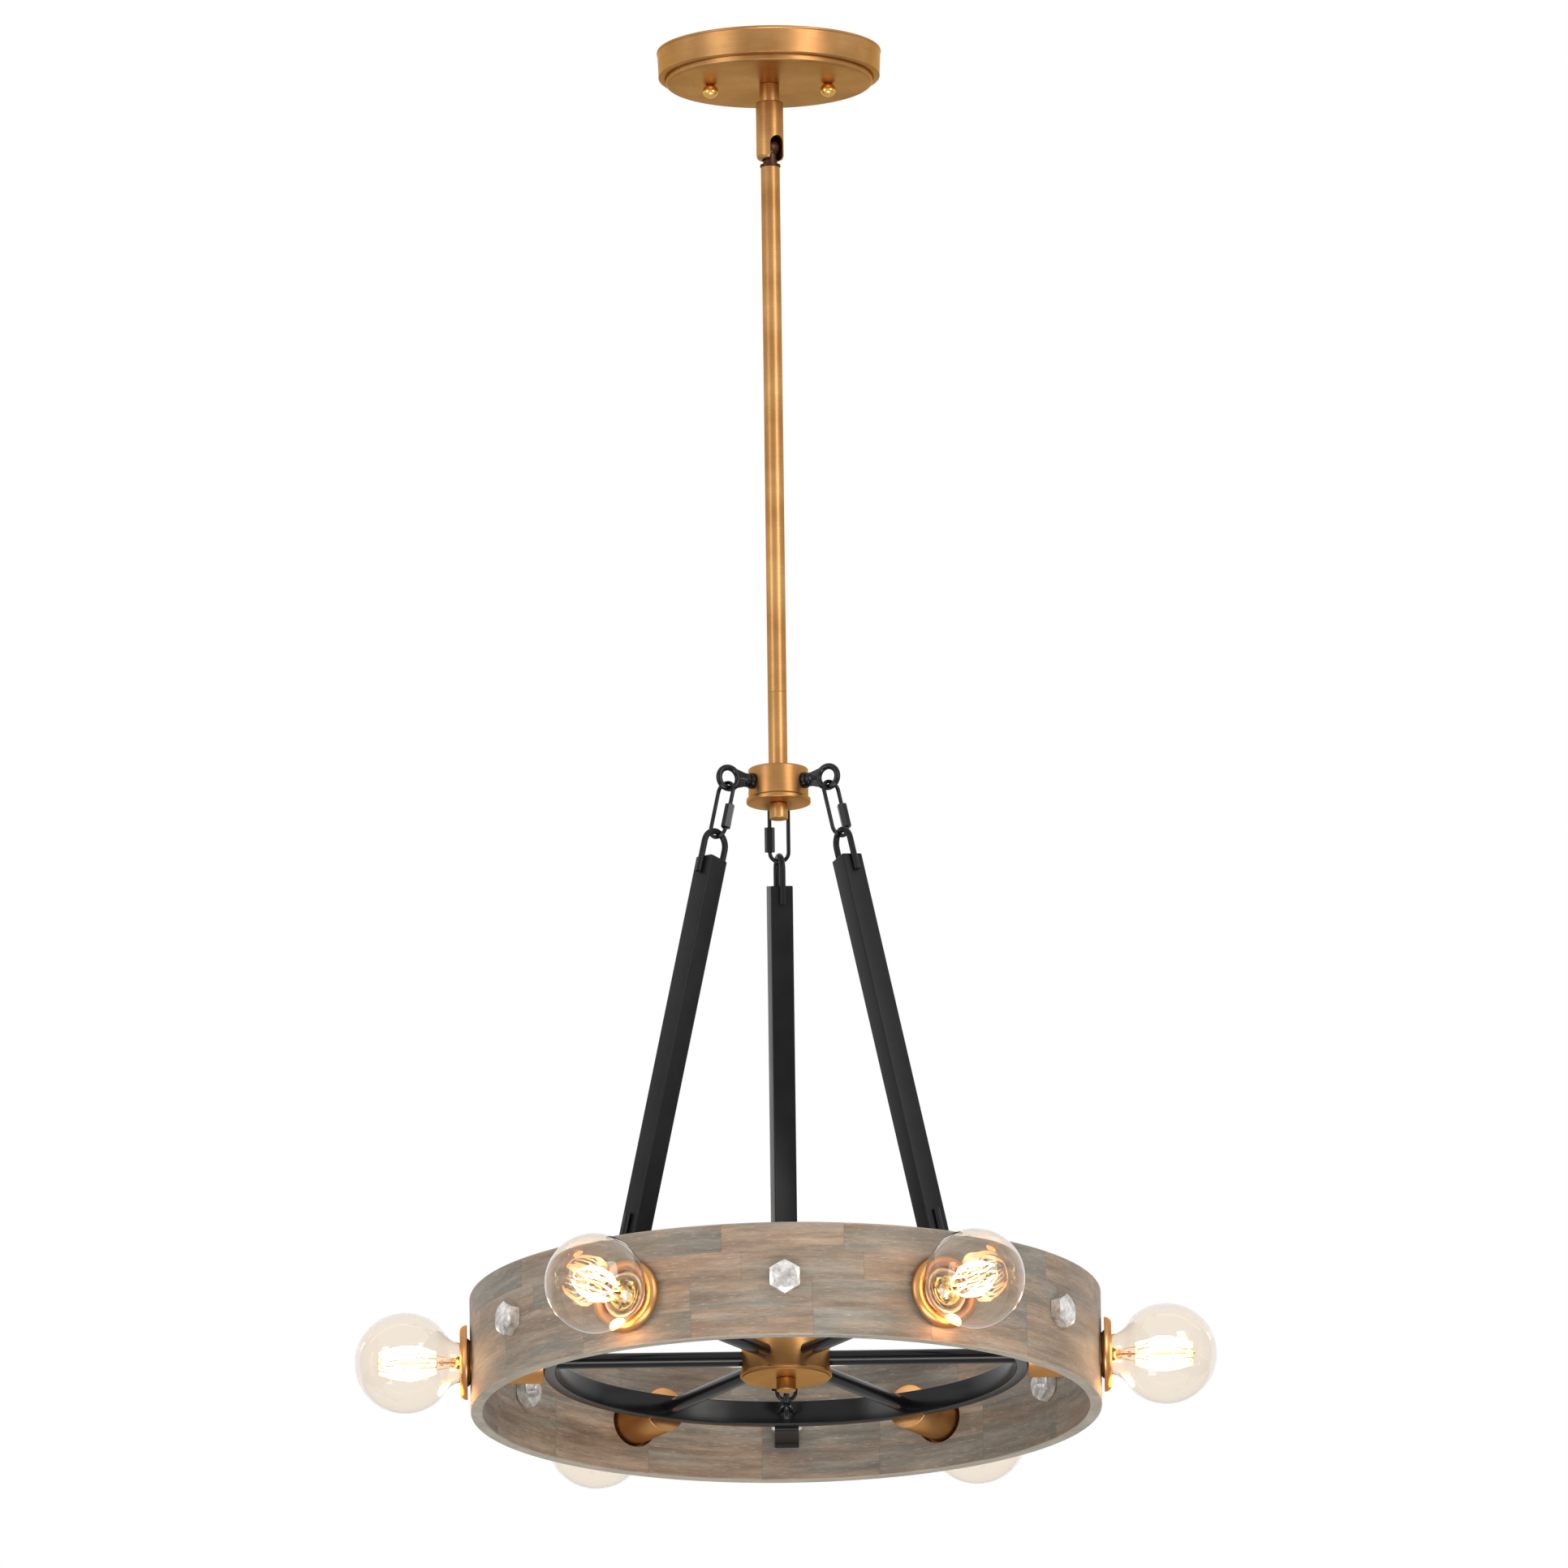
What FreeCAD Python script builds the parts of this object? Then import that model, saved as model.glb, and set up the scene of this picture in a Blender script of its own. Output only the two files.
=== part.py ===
"""Wagon wheel chandelier: a wooden band on a spoked ring, hung from a ceiling canopy.

Lengths are in millimetres.  The origin lies on the vertical axis at the ceiling plane, +Z up,
so every level below the ceiling is negative.  Azimuths are counted from +X towards +Y.
"""
import FreeCAD, Part

import math
import os
import re

import Sketcher

V = FreeCAD.Vector
Rotation = FreeCAD.Rotation
Placement = FreeCAD.Placement

SIZES = {
    # crossbar under the ceiling box, and what hangs from it
    "strap_l": 110.0, "strap_w": 20.0, "strap_t": 3.0, "strap_drop": 9.0, "strap_flat": 28.0,
    "strap_slope": 8.0, "box_screw_gap": 69.85, "box_slot_w": 4.8, "box_slot_l": 12.0,
    "nipple_d": 9.5, "nipple_bore": 6.4, "nipple_grip": 10.0, "nipple_above": 7.0,
    "locknut_af": 14.0, "locknut_t": 4.0, "thread_gap": 0.1, "slip_gap": 0.2,
    # canopy
    "canopy_d": 178.0, "canopy_side": 22.0, "canopy_draft": 1.2, "canopy_edge": 2.5,
    "canopy_step_d": 165.0, "canopy_step": 5.0, "canopy_wall": 1.5,
    "stud_gap": 94.0, "stud_d": 4.0, "stud_grip": 7.0, "knob_d": 12.4, "knob_l": 10.7,
    "collar_d": 15.7, "collar_l": 15.0,
    # hang-straight swivel
    "swivel_d": 21.6, "swivel_l": 47.0, "swivel_edge": 3.2, "ball_d": 16.0, "ball_gap": 0.3,
    "ball_up": 10.0, "ball_room": 1.0, "neck_d": 11.4, "neck_l": 13.6, "neck_gap": 0.3,
    "neck_play": 0.8, "slot_top": 18.7, "slot_azimuth": 305.0, "neck_ring_d": 16.2, "neck_ring_t": 2.0,
    # stem and upper hub
    "rod_d": 15.0, "rod_upper_l": 428.4, "rod_lower_l": 62.0, "stem_tube_d": 10.0,
    "hub_d": 47.5, "hub_l": 24.0, "hub_wall": 3.0, "hub_cover_d": 51.0, "hub_cover_t": 4.0,
    "finial_d": 14.4, "finial_l": 12.6, "finial_end": 3.6, "finial_edge": 0.8,
    # eye bolts
    "eye_drop": 12.0, "upper_reach": 21.75, "lower_reach": 25.5, "eye_d": 22.0, "eye_wire": 5.0,
    "eye_web_t": 4.4, "eye_shank_d": 8.0, "eye_collar_d": 13.0, "eye_collar_t": 3.0,
    "eye_bead_d": 10.4, "eye_bead_l": 3.4, "eye_nut_af": 13.0, "eye_nut_t": 6.5, "shank_out": 1.0,
    # hangers: link, loop, bar, loop, link
    "hang_drop": 468.0, "link_l": 50.0, "link_w": 18.0, "link_wire": 3.2, "seat_gap": 0.3,
    "lower_seat_gap": 0.7, "link_opening": 5.0, "link_foot": 0.5,
    "sleeve_af": 7.0, "sleeve_l": 20.0, "sleeve_gap": 0.3,
    "bar_w": 18.0, "bar_wall": 1.5, "bar_corner": 1.2, "bar_end_t": 3.0, "loop_wire": 5.0,
    "loop_reach": 23.5, "loop_grip_top": 14.5, "loop_grip_low": 33.0, "weld_sink": 0.3,
    "left_link_turn": 22.0, "left_bar_turn": 14.0, "left_low_turn": 7.0,
    "right_link_turn": -21.0, "right_bar_turn": -30.0, "right_low_turn": -15.0,
    "back_link_turn": 0.0, "back_bar_turn": 12.0, "back_low_turn": 6.0,
    # wooden band
    "band_d": 500.0, "band_wall": 9.5, "band_l": 92.0, "band_up": 5.0, "socket_hole": 39.5,
    # inner ring, spokes and lower hub
    "ring_d": 384.0, "ring_wall": 9.5, "ring_l": 19.0, "spoke_d": 12.0, "spoke_in": 28.0,
    "low_hub_d": 70.0, "low_hub_above": 19.0, "low_hub_below": 13.0, "low_hub_wall": 4.0,
    "low_cover_d": 73.0, "low_cover_t": 3.5, "low_cover_edge": 1.5,
    "low_finial_d": 15.4, "low_finial_l": 10.0, "tie_bolt_d": 6.0, "tie_head_af": 10.0,
    "tie_head_t": 4.0,
    # brackets between ring and band
    "bracket_w": 19.0, "bracket_t": 3.0, "bracket_foot_top": 4.5, "bracket_foot_low": 17.5,
    "bracket_pad_top": 14.0, "bracket_pad_low": 20.0,
    # hex bolts and nuts through the band
    "bolt_d": 10.0, "bolt_af": 24.0, "bolt_head_t": 9.5, "bolt_tail": 14.5, "bolt_top_share": 0.83,
    "nut_t": 9.5, "curve_gap": 0.4, "seat_play": 0.05,
    # lamp sockets and bulbs
    "cup_d": 35.0, "cup_wall": 1.2, "flange_d": 59.6, "flange_gap": 2.2, "flange_front_d": 50.0,
    "flange_t": 5.3, "mouth_depth": 2.9, "holder_gap": 0.3, "holder_wall": 2.2,
    "holder_past": 1.4, "base_d": 26.0, "base_l": 23.0, "tip_d": 10.0,
    "tip_l": 3.0, "base_gap": 0.3, "glass_neck_d": 31.0, "glass_neck_l": 10.0,
    "shoulder_l": 11.7, "globe_d": 80.0, "globe_start": 135.0,
}
LEVELS = {
    "canopy_bottom": "-(canopy_side + canopy_step)",
    "collar_bottom": "canopy_bottom - collar_l",
    "swivel_bottom": "collar_bottom - swivel_l",
    "ball_level": "swivel_bottom + ball_up",
    "rod_top": "ball_level - neck_l - neck_ring_t",
    "rod_seam": "rod_top - rod_upper_l",
    "hub_top": "rod_seam - rod_lower_l",
    "hub_bottom": "hub_top - hub_l",
    "cover_bottom": "hub_bottom - hub_cover_t",
    "finial_bottom": "cover_bottom - finial_l",
    "eye_level": "hub_top - eye_drop",
    "spoke_level": "eye_level - hang_drop",
    "band_level": "spoke_level + band_up",
    "low_cover_bottom": "spoke_level - low_hub_below - low_cover_t",
    "low_finial_bottom": "low_cover_bottom - low_finial_l",
    # distances out from the vertical axis
    "ring_in": "ring_d / 2 - ring_wall",
    "foot_in": "ring_d / 2 + seat_play",
    "foot_out": "foot_in + bracket_t",
    "band_in": "band_d / 2 - band_wall",
    "pad_out": "band_in - curve_gap",
    "pad_in": "pad_out - bracket_t",
    "upper_eye_at": "hub_d / 2 + upper_reach",
    "lower_eye_at": "ring_in - lower_reach",
    "bolt_end": "band_in - bolt_tail",
    "cup_in": "ring_d / 2 + seat_play",
    "holder_in": "cup_in + cup_wall + holder_gap",
    "glass_in": "band_d / 2 + holder_past",
    "base_in": "glass_in - base_l - tip_l",
    "globe_at": "glass_in + glass_neck_l + shoulder_l",
}
UPRIGHTS = {"back": 90, "left": 210, "right": 330}
LAMPS = 6
# round pieces have flat sides, the more the wider they are, so that their meshes stay light
LINK_SIDES, FEW_SIDES, SMALL_SIDES, WIDE_SIDES, CANOPY_SIDES, WHEEL_SIDES = 6, 12, 16, 32, 44, 72

doc = FreeCAD.newDocument("wagon_wheel_chandelier")
sheet = doc.addObject("Spreadsheet::Sheet", "Sizes")
for row, (alias, value) in enumerate(SIZES.items(), 1):
    sheet.set(f"A{row}", alias)
    sheet.set(f"B{row}", str(value))
    sheet.setAlias(f"B{row}", alias)
doc.recompute()


def bound(text):
    """An expression on the names above, as the document reads it."""
    def full(match):
        word = match.group(0)
        owner = "Sizes." if word in SIZES else "Levels." if word in LEVELS else ""
        return owner + word
    return re.sub(r"[a-z_]+\w*", full, text)


levels = doc.addObject("App::VarSet", "Levels")
for alias, text in LEVELS.items():
    levels.addProperty("App::PropertyFloat", alias)
    levels.setExpression(alias, bound(text))
doc.recompute()

NODES = []


def size(alias):
    return float(sheet.get(alias))


def level(alias):
    return float(getattr(levels, alias))


def bind(obj, **properties):
    """Ties properties to expressions; a double underscore stands for a dot."""
    for name, text in properties.items():
        obj.setExpression(name.replace("__", "."), bound(text))


def node(obj, name):
    """Marks an object as one sub-part and names it."""
    obj.Label = name
    NODES.append(obj)
    return obj


# ------------------------------------------------------------------ sketches and body features

def origin_feature(body, role):
    return next(f for f in body.Origin.OriginFeatures if f.Role == role)


def new_sketch(body, plane, turn=None):
    sketch = body.newObject("Sketcher::SketchObject", "sketch")
    sketch.AttachmentSupport = [(origin_feature(body, plane), "")]
    sketch.MapMode = "FlatFace"
    if turn is not None:
        sketch.AttachmentOffset = Placement(V(), turn)
    return sketch


def fix_point(sketch, geometry, point, across, up):
    """Ties a point's two coordinates; the text 0 puts it on the axis itself."""
    for kind, text, axis in (("DistanceX", across, -2), ("DistanceY", up, -1)):
        if text == "0":
            sketch.addConstraint(Sketcher.Constraint("PointOnObject", geometry, point, axis))
        else:
            k = sketch.addConstraint(Sketcher.Constraint(kind, -1, 1, geometry, point, 10.0))
            sketch.setExpression(f"Constraints[{k}]", bound(text))


def add_polygon(sketch, corners):
    """Adds a closed outline whose corners are pairs of expressions."""
    first, n = sketch.GeometryCount, len(corners)
    angles = [2 * math.pi * i / n for i in range(n)]
    start = [V(60 + 50 * math.cos(a), 60 + 50 * math.sin(a)) for a in angles]
    for i in range(n):
        sketch.addGeometry(Part.LineSegment(start[i], start[(i + 1) % n]), False)
    for i in range(n):
        sketch.addConstraint(Sketcher.Constraint("Coincident", first + i, 2, first + (i + 1) % n, 1))
    for i, (across, up) in enumerate(corners):
        fix_point(sketch, first + i, 1, across, up)
    return sketch


def add_circle(sketch, across, up, radius):
    k = sketch.addGeometry(Part.Circle(V(5, 5), V(0, 0, 1), 2.0), False)
    fix_point(sketch, k, 3, across, up)
    c = sketch.addConstraint(Sketcher.Constraint("Radius", k, 2.0))
    sketch.setExpression(f"Constraints[{c}]", bound(radius))
    return sketch


def new_body(name, height="0", turn="0"):
    """A body at a height, turned about the vertical axis."""
    body = node(doc.addObject("PartDesign::Body", name), name)
    body.Placement = Placement(V(), Rotation(V(0, 0, 1), 1))
    bind(body, Placement__Base__z=height, Placement__Rotation__Angle=turn)
    return body


def extrude(body, sketch, length, kind="PartDesign::Pad", side="One side", reverse=False):
    feature = body.newObject(kind, "extruded")
    feature.Profile = sketch
    feature.SideType = side
    feature.Reversed = reverse
    bind(feature, Length=length)
    return feature


def drill(body, sketch, length, side="Symmetric", reverse=False):
    return extrude(body, sketch, length, "PartDesign::Pocket", side, reverse)


def around(body, features, count):
    """Repeats features evenly about the body's vertical axis."""
    pattern = body.newObject("PartDesign::PolarPattern", "around")
    pattern.Originals = features
    pattern.Axis = (origin_feature(body, "Z_Axis"), [""])
    pattern.Angle = 360
    pattern.Occurrences = count
    body.Tip = pattern
    return pattern


def round_of(body, kind, radius, low, top, sides, plane="XY_Plane", turn=None):
    """One many-sided round, added or cut, whose flats touch a cut's circle and corners an added one's."""
    piece = body.newObject(f"PartDesign::{kind}Prism", "round")
    piece.AttachmentSupport = [(origin_feature(body, plane), "")]
    piece.MapMode = "FlatFace"
    if turn is not None:
        piece.AttachmentOffset = Placement(V(), turn)
    piece.Polygon = sides
    over = 1 if kind == "Additive" else 1 / math.cos(math.pi / sides)
    bind(piece, Circumradius=f"({radius}) * {over:.6f}", Height=f"{top} - ({low})",
         AttachmentOffset__Base__z=low)
    return piece


def stacked(name, adds, cuts, height="0", turn="0", sides=SMALL_SIDES):
    """A piece of coaxial rounds, each a (radius, from, to), added first and cut after."""
    body = new_body(name, height, turn)
    for kind, rounds in (("Additive", adds), ("Subtractive", cuts)):
        for radius, low, top in rounds:
            round_of(body, kind, radius, low, top, sides)
    return body


def add_round_hole(sketch, across, up, radius, sides=FEW_SIDES):
    """A many-sided hole whose flats touch its circle."""
    over = 1 / math.cos(math.pi / sides)
    corners = []
    for k in range(sides):
        angle = 2 * math.pi * (k + 0.5) / sides
        corners.append((f"{across} + ({radius}) * {over * math.cos(angle):.6f}",
                        f"{up} + ({radius}) * {over * math.sin(angle):.6f}"))
    return add_polygon(sketch, corners)


def hexagon(flats, up="0"):
    """Corners of a hexagon that stands on a point."""
    corners = []
    for k in range(6):
        angle = math.radians(60 * k + 30)
        across = "0" if k in (1, 4) else f"{flats} / 2 * {math.cos(angle) / math.cos(math.pi / 6):.6f}"
        corners.append((across, f"{up} + {flats} / 2 * {math.sin(angle) / math.cos(math.pi / 6):.6f}"))
    return corners


# ------------------------------------------------------------------ bent wire and facetted turning

def solid_of(faces):
    solid = Part.Solid(Part.Shell([Part.Face(Part.makePolygon(f + f[:1])) for f in faces]))
    if solid.Volume < 0:
        solid.reverse()
    return solid


def bent_rod(points, width, closed=False, sides=8):
    """A many-sided rod, width across flats, mitred along straight runs between points."""
    count = len(points)
    runs = [(points[(i + 1) % count] - points[i]).normalize() for i in range(count if closed else count - 1)]
    normal = runs[0].cross(runs[1]).normalize()
    side = normal.cross(runs[0])
    reach = width / 2 / math.cos(math.pi / sides)
    angles = [2 * math.pi * (k + 0.5) / sides for k in range(sides)]
    ring = [points[0] + side * (reach * math.cos(a)) + normal * (reach * math.sin(a)) for a in angles]
    rings = []
    for i, at in enumerate(points):
        before = runs[i - 1] if closed or i > 0 else runs[0]
        after = runs[i] if closed or i < count - 1 else runs[-1]
        run = before if i > 0 else runs[0]
        cut = (before + after).normalize()
        ring = [p + run * ((at - p).dot(cut) / run.dot(cut)) for p in ring]
        rings.append(ring)
    pairs = list(zip(rings, rings[1:]))
    if closed:
        pairs.append((rings[-1], rings[0]))
    faces = [[a[k - 1], a[k], b[k], b[k - 1]] for a, b in pairs for k in range(sides)]
    if not closed:
        faces += [rings[0][::-1], rings[-1]]
    return solid_of(faces)


def bend(centre, radius, across, up, first, last, steps):
    """Corners of a bend drawn outside its circle, so that each run touches it at its middle."""
    outer = radius / math.cos(math.radians(last - first) / steps / 2)
    angles = [math.radians(first + (last - first) * (k + 0.5) / steps) for k in range(steps)]
    return [centre + across * (outer * math.cos(a)) + up * (outer * math.sin(a)) for a in angles]


def facetted(outline, sides, closed=False):
    """A piece turned about X with flat facets, from (distance out, radius) points."""
    turns = [2 * math.pi * (k + 0.5) / sides for k in range(sides)]
    rings = []
    for out, radius in outline:
        ring = [V(out, radius * math.cos(a), radius * math.sin(a)) for a in turns]
        rings.append(ring if radius else [V(out, 0, 0)] * sides)
    pairs = list(zip(rings, rings[1:]))
    ends = list(zip(outline, outline[1:]))
    if closed:
        pairs.append((rings[-1], rings[0]))
        ends.append((outline[-1], outline[0]))
    faces = []
    for (a, b), (start, end) in zip(pairs, ends):
        if not start[1] and not end[1]:
            continue
        for k in range(sides):
            if not start[1]:
                faces.append([a[0], b[k], b[k - 1]])
            elif not end[1]:
                faces.append([a[k - 1], a[k], b[0]])
            else:
                faces.append([a[k - 1], a[k], b[k], b[k - 1]])
    return solid_of(faces)


def rod_x(radius, start, end, sides=FEW_SIDES):
    """A many-sided rod along X, its corners on its circle."""
    return facetted([(start, 0), (start, radius), (end, radius), (end, 0)], sides)


def upright_axis(shape):
    """Turns a piece made along X so that it stands along Z."""
    shape.rotate(V(), V(0, 1, 0), -90)
    return shape


def copies_around(shape, count, first=0):
    """Like pieces spaced evenly about the vertical axis."""
    pieces = []
    for k in range(count):
        piece = shape.copy()
        piece.rotate(V(), V(0, 0, 1), first + 360 * k / count)
        pieces.append(piece)
    return Part.makeCompound(pieces)


def feature(name, shape, placement=None):
    obj = node(doc.addObject("Part::Feature", name), name)
    obj.Shape = shape
    if placement is not None:
        obj.Placement = placement * shape.Placement
    return obj


def turned_to(azimuth):
    return Rotation(V(0, 0, 1), azimuth)


# ------------------------------------------------------------------ ceiling group

def make_crossbar():
    """A strap lowered in its middle, with two slots for the box screws."""
    body = new_body("crossbar")
    half, flat, foot = "strap_l / 2", "strap_flat / 2", "strap_flat / 2 + strap_slope"
    right = [(flat, "-strap_drop"), (foot, "0"), (half, "0"), (half, "-strap_t"),
             (f"{foot} - strap_t / 3", "-strap_t"), (f"{flat} - strap_t / 3", "-strap_drop - strap_t")]
    left = [(f"-({across})", up) for across, up in reversed(right)]
    sketch = add_polygon(new_sketch(body, "XZ_Plane"), right + left)
    extrude(body, sketch, "strap_w", side="Symmetric")
    holes = new_sketch(body, "XY_Plane")
    add_round_hole(holes, "0", "0", "nipple_d / 2 + thread_gap")
    reach = "(box_slot_l - box_slot_w) / 2"
    for sign in ("", "-"):
        add_round_hole(holes, f"{sign}stud_gap / 2", "0", "stud_d / 2 + thread_gap")
        centre = f"{sign}box_screw_gap / 2"
        corners = [(f"{centre} {way} {reach}", f"{up}box_slot_w / 2")
                   for way, up in (("-", "-"), ("+", "-"), ("+", ""), ("-", ""))]
        add_polygon(holes, corners)
    drill(body, holes, "strap_l")
    for sign in ("", "-"):
        for way in ("-", "+"):
            end = new_sketch(body, "XY_Plane")
            add_circle(end, f"{sign}box_screw_gap / 2 {way} {reach}", "0", "box_slot_w / 2")
            drill(body, end, "strap_l")


def make_canopy():
    """A drawn cup, open at the ceiling, with a stepped foot."""
    wall, side, step = size("canopy_wall"), -size("canopy_side"), level("canopy_bottom")
    rim, foot = size("canopy_d") / 2, size("canopy_step_d") / 2
    low, edge = rim - size("canopy_draft"), size("canopy_edge")
    cup = facetted([
        (0, rim), (side + edge, low), (side, low - edge), (side, foot), (step, foot), (step, 0),
        (step + wall, 0), (step + wall, foot - wall), (side + wall, foot - wall),
        (side + wall, low - wall), (0, rim - wall)], CANOPY_SIDES, closed=True)
    holes = [rod_x(size("nipple_d") / 2 + size("slip_gap"), step - 1, side)]
    for way in (1, -1):
        hole = rod_x(size("stud_d") / 2 + size("slip_gap"), step - 1, side)
        hole.translate(V(0, 0, way * size("stud_gap") / 2))
        holes.append(hole)
    feature("canopy", upright_axis(cup.cut(holes)))


def make_studs_and_knobs():
    """Two studs down through the canopy, each with a ball knob that holds the canopy up."""
    grip, gap = size("stud_grip"), size("thread_gap")
    stud = rod_x(size("stud_d") / 2, -grip, -level("canopy_bottom") - gap)
    ball, length, bore = size("knob_d") / 2, size("knob_l"), size("stud_d") / 2 + gap
    swell = [(-length * (0.5 - 0.5 * math.sin(math.radians(a))), ball * math.cos(math.radians(a)))
             for a in (48, 16, -16, -48)]
    knob = facetted([(0, bore), (0, ball * 0.55)] + swell + [
        (-length, ball * 0.2), (-length, 0), (-grip - gap, 0), (-grip - gap, bore)], FEW_SIDES, closed=True)
    for name, piece in (("canopy_studs", stud), ("canopy_knobs", knob)):
        piece = upright_axis(piece)
        piece.translate(V(size("stud_gap") / 2, 0, level("canopy_bottom")))
        feature(name, copies_around(piece, 2))


def make_nipple_and_nuts():
    nipple = node(doc.addObject("Part::Cut", "nipple"), "nipple")
    nipple.Base = doc.addObject("Part::Cylinder", "nipple_outside")
    nipple.Tool = doc.addObject("Part::Cylinder", "nipple_inside")
    length = "nipple_grip - collar_bottom - strap_drop + nipple_above"
    bind(nipple.Base, Radius="nipple_d / 2", Height=length)
    bind(nipple.Tool, Radius="nipple_bore / 2", Height=length)
    bind(nipple, Placement__Base__z="collar_bottom - nipple_grip")
    body = new_body("nipple_locknuts")
    for height, reverse in (("-strap_drop", False), ("-strap_drop - strap_t", True)):
        sketch = new_sketch(body, "XY_Plane")
        bind(sketch, AttachmentOffset__Base__z=height)
        add_polygon(sketch, hexagon("locknut_af"))
        add_round_hole(sketch, "0", "0", "nipple_d / 2 + thread_gap")
        extrude(body, sketch, "locknut_t", reverse=reverse)


def make_swivel():
    """The collar and the ball's housing, cut away on one side for sloped ceilings."""
    stacked("swivel_collar", [("collar_d / 2", "0", "collar_l")],
            [("nipple_d / 2 + slip_gap", "0", "collar_l")], "collar_bottom")
    wall, mouth, room = "swivel_d / 2", "neck_d / 2 + neck_play", "ball_d / 2 + ball_gap"
    seat = f"ball_up - sqrt(({room}) ^ 2 - ({mouth}) ^ 2)"
    body = stacked(
        "swivel_body",
        [(wall, "swivel_edge", "swivel_l"), (f"{wall} - swivel_edge / 3", "swivel_edge / 3", "swivel_edge"),
         (f"{wall} - swivel_edge", "0", "swivel_edge / 3")],
        [(mouth, "-1", "ball_up"), (room, seat, "ball_up + ball_d / 2 + ball_room"),
         ("nipple_d / 2 + thread_gap", "ball_up", "swivel_l")],
        "swivel_bottom", "slot_azimuth - 270", sides=24)
    half = "neck_d / 2 + neck_gap"
    arch = [(f"({half}) * {math.cos(math.radians(a)):.4f}",
             f"slot_top - ({half}) * {1 - math.sin(math.radians(a)):.4f}") for a in (0, 30, 60)]
    mirrored = [(f"-{across}", up) for across, up in reversed(arch)]
    slot = add_polygon(new_sketch(body, "XZ_Plane"),
                       arch + [("0", "slot_top")] + mirrored + [(f"-({half})", "-1"), (half, "-1")])
    drill(body, slot, "swivel_d", "One side", reverse=True)


def make_stem():
    """The ball, its neck and neck ring, on a tube that runs down to the finial."""
    ball, neck, tube = size("ball_d") / 2, size("neck_d") / 2, size("stem_tube_d") / 2
    bore, ring_low = size("nipple_bore") / 2, level("rod_top")
    ring_top = ring_low + size("neck_ring_t")
    centre, end = level("ball_level"), level("finial_bottom") + size("finial_end") + size("slip_gap")
    top_at = math.sqrt(ball ** 2 - bore ** 2)
    first, last = math.atan2(bore, top_at), math.pi - math.asin(neck / ball)
    turns = [first + (last - first) * k / 7 for k in range(8)]
    outline = [(centre + ball * math.cos(a), ball * math.sin(a)) for a in turns]
    outline += [(ring_top, neck), (ring_top, size("neck_ring_d") / 2), (ring_low, size("neck_ring_d") / 2),
                (ring_low, tube), (end, tube), (end, bore)]
    feature("stem_tube", upright_axis(facetted(outline, SMALL_SIDES, closed=True)))
    inside = "stem_tube_d / 2 + slip_gap"
    rods = (("rod_upper", "rod_upper_l", "rod_seam"), ("rod_lower", "rod_lower_l", "hub_top"))
    for name, length, height in rods:
        stacked(name, [("rod_d / 2", "0", length)], [(inside, "0", length)], height)


def make_upper_hub():
    inside = "stem_tube_d / 2 + slip_gap"
    body = stacked("upper_hub", [("hub_d / 2", "0", "hub_l")],
                   [("hub_d / 2 - hub_wall", "0", "hub_l - hub_wall"), (inside, "0", "hub_l")],
                   "hub_bottom", sides=WIDE_SIDES)
    hole = round_of(body, "Subtractive", "eye_shank_d / 2 + slip_gap", "0", "hub_d", FEW_SIDES,
                    "YZ_Plane", Rotation(V(0, 1, 0), -30))
    hole.AttachmentOffset.Base = V(0, 0, 0)
    bind(hole, AttachmentOffset__Base__y="hub_l - eye_drop")
    around(body, [hole], len(UPRIGHTS))
    stacked("upper_hub_cover", [("hub_cover_d / 2", "0", "hub_cover_t")], [(inside, "0", "hub_cover_t")],
            "cover_bottom", sides=WIDE_SIDES)
    stacked("upper_finial",
            [("finial_d / 2 - finial_edge", "0", "finial_edge"), ("finial_d / 2", "finial_edge", "finial_l")],
            [(inside, "finial_end", "finial_l")], "finial_bottom")


# ------------------------------------------------------------------ eye bolts and their nuts

def eye_bolt(reach, shank_l):
    """An eye bolt along X: the eye's centre at the origin, its collar's face at reach."""
    middle = (size("eye_d") - size("eye_wire")) / 2
    bead_r, web_t = size("eye_bead_d") / 2, size("eye_web_t")
    eye = bent_rod(bend(V(), middle, V(1, 0, 0), V(0, 0, 1), 0, 360, 12), size("eye_wire"), closed=True)
    collar_at = reach - size("eye_collar_t")
    bead_at = collar_at - size("eye_bead_l")
    web_at, web_r = middle * 0.85, middle * 0.95
    corners = [V(web_at, -web_t / 2, -web_r), V(collar_at, -web_t / 2, -bead_r),
               V(collar_at, -web_t / 2, bead_r), V(web_at, -web_t / 2, web_r)]
    web = Part.Face(Part.makePolygon(corners + corners[:1])).extrude(V(0, web_t, 0))
    collar_r, shank_r = size("eye_collar_d") / 2, size("eye_shank_d") / 2
    stem = facetted([
        (bead_at, 0), (bead_at, bead_r), (collar_at, bead_r), (collar_at, collar_r), (reach, collar_r),
        (reach, shank_r), (reach + shank_l, shank_r), (reach + shank_l, 0)], FEW_SIDES)
    return eye.multiFuse([web, stem]).removeSplitter()


def flat_seat(room, corner):
    """How far a flat piece stands off a hollow round wall, so that its corners clear it."""
    return room - math.sqrt(room ** 2 - corner ** 2) + size("seat_play")


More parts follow.
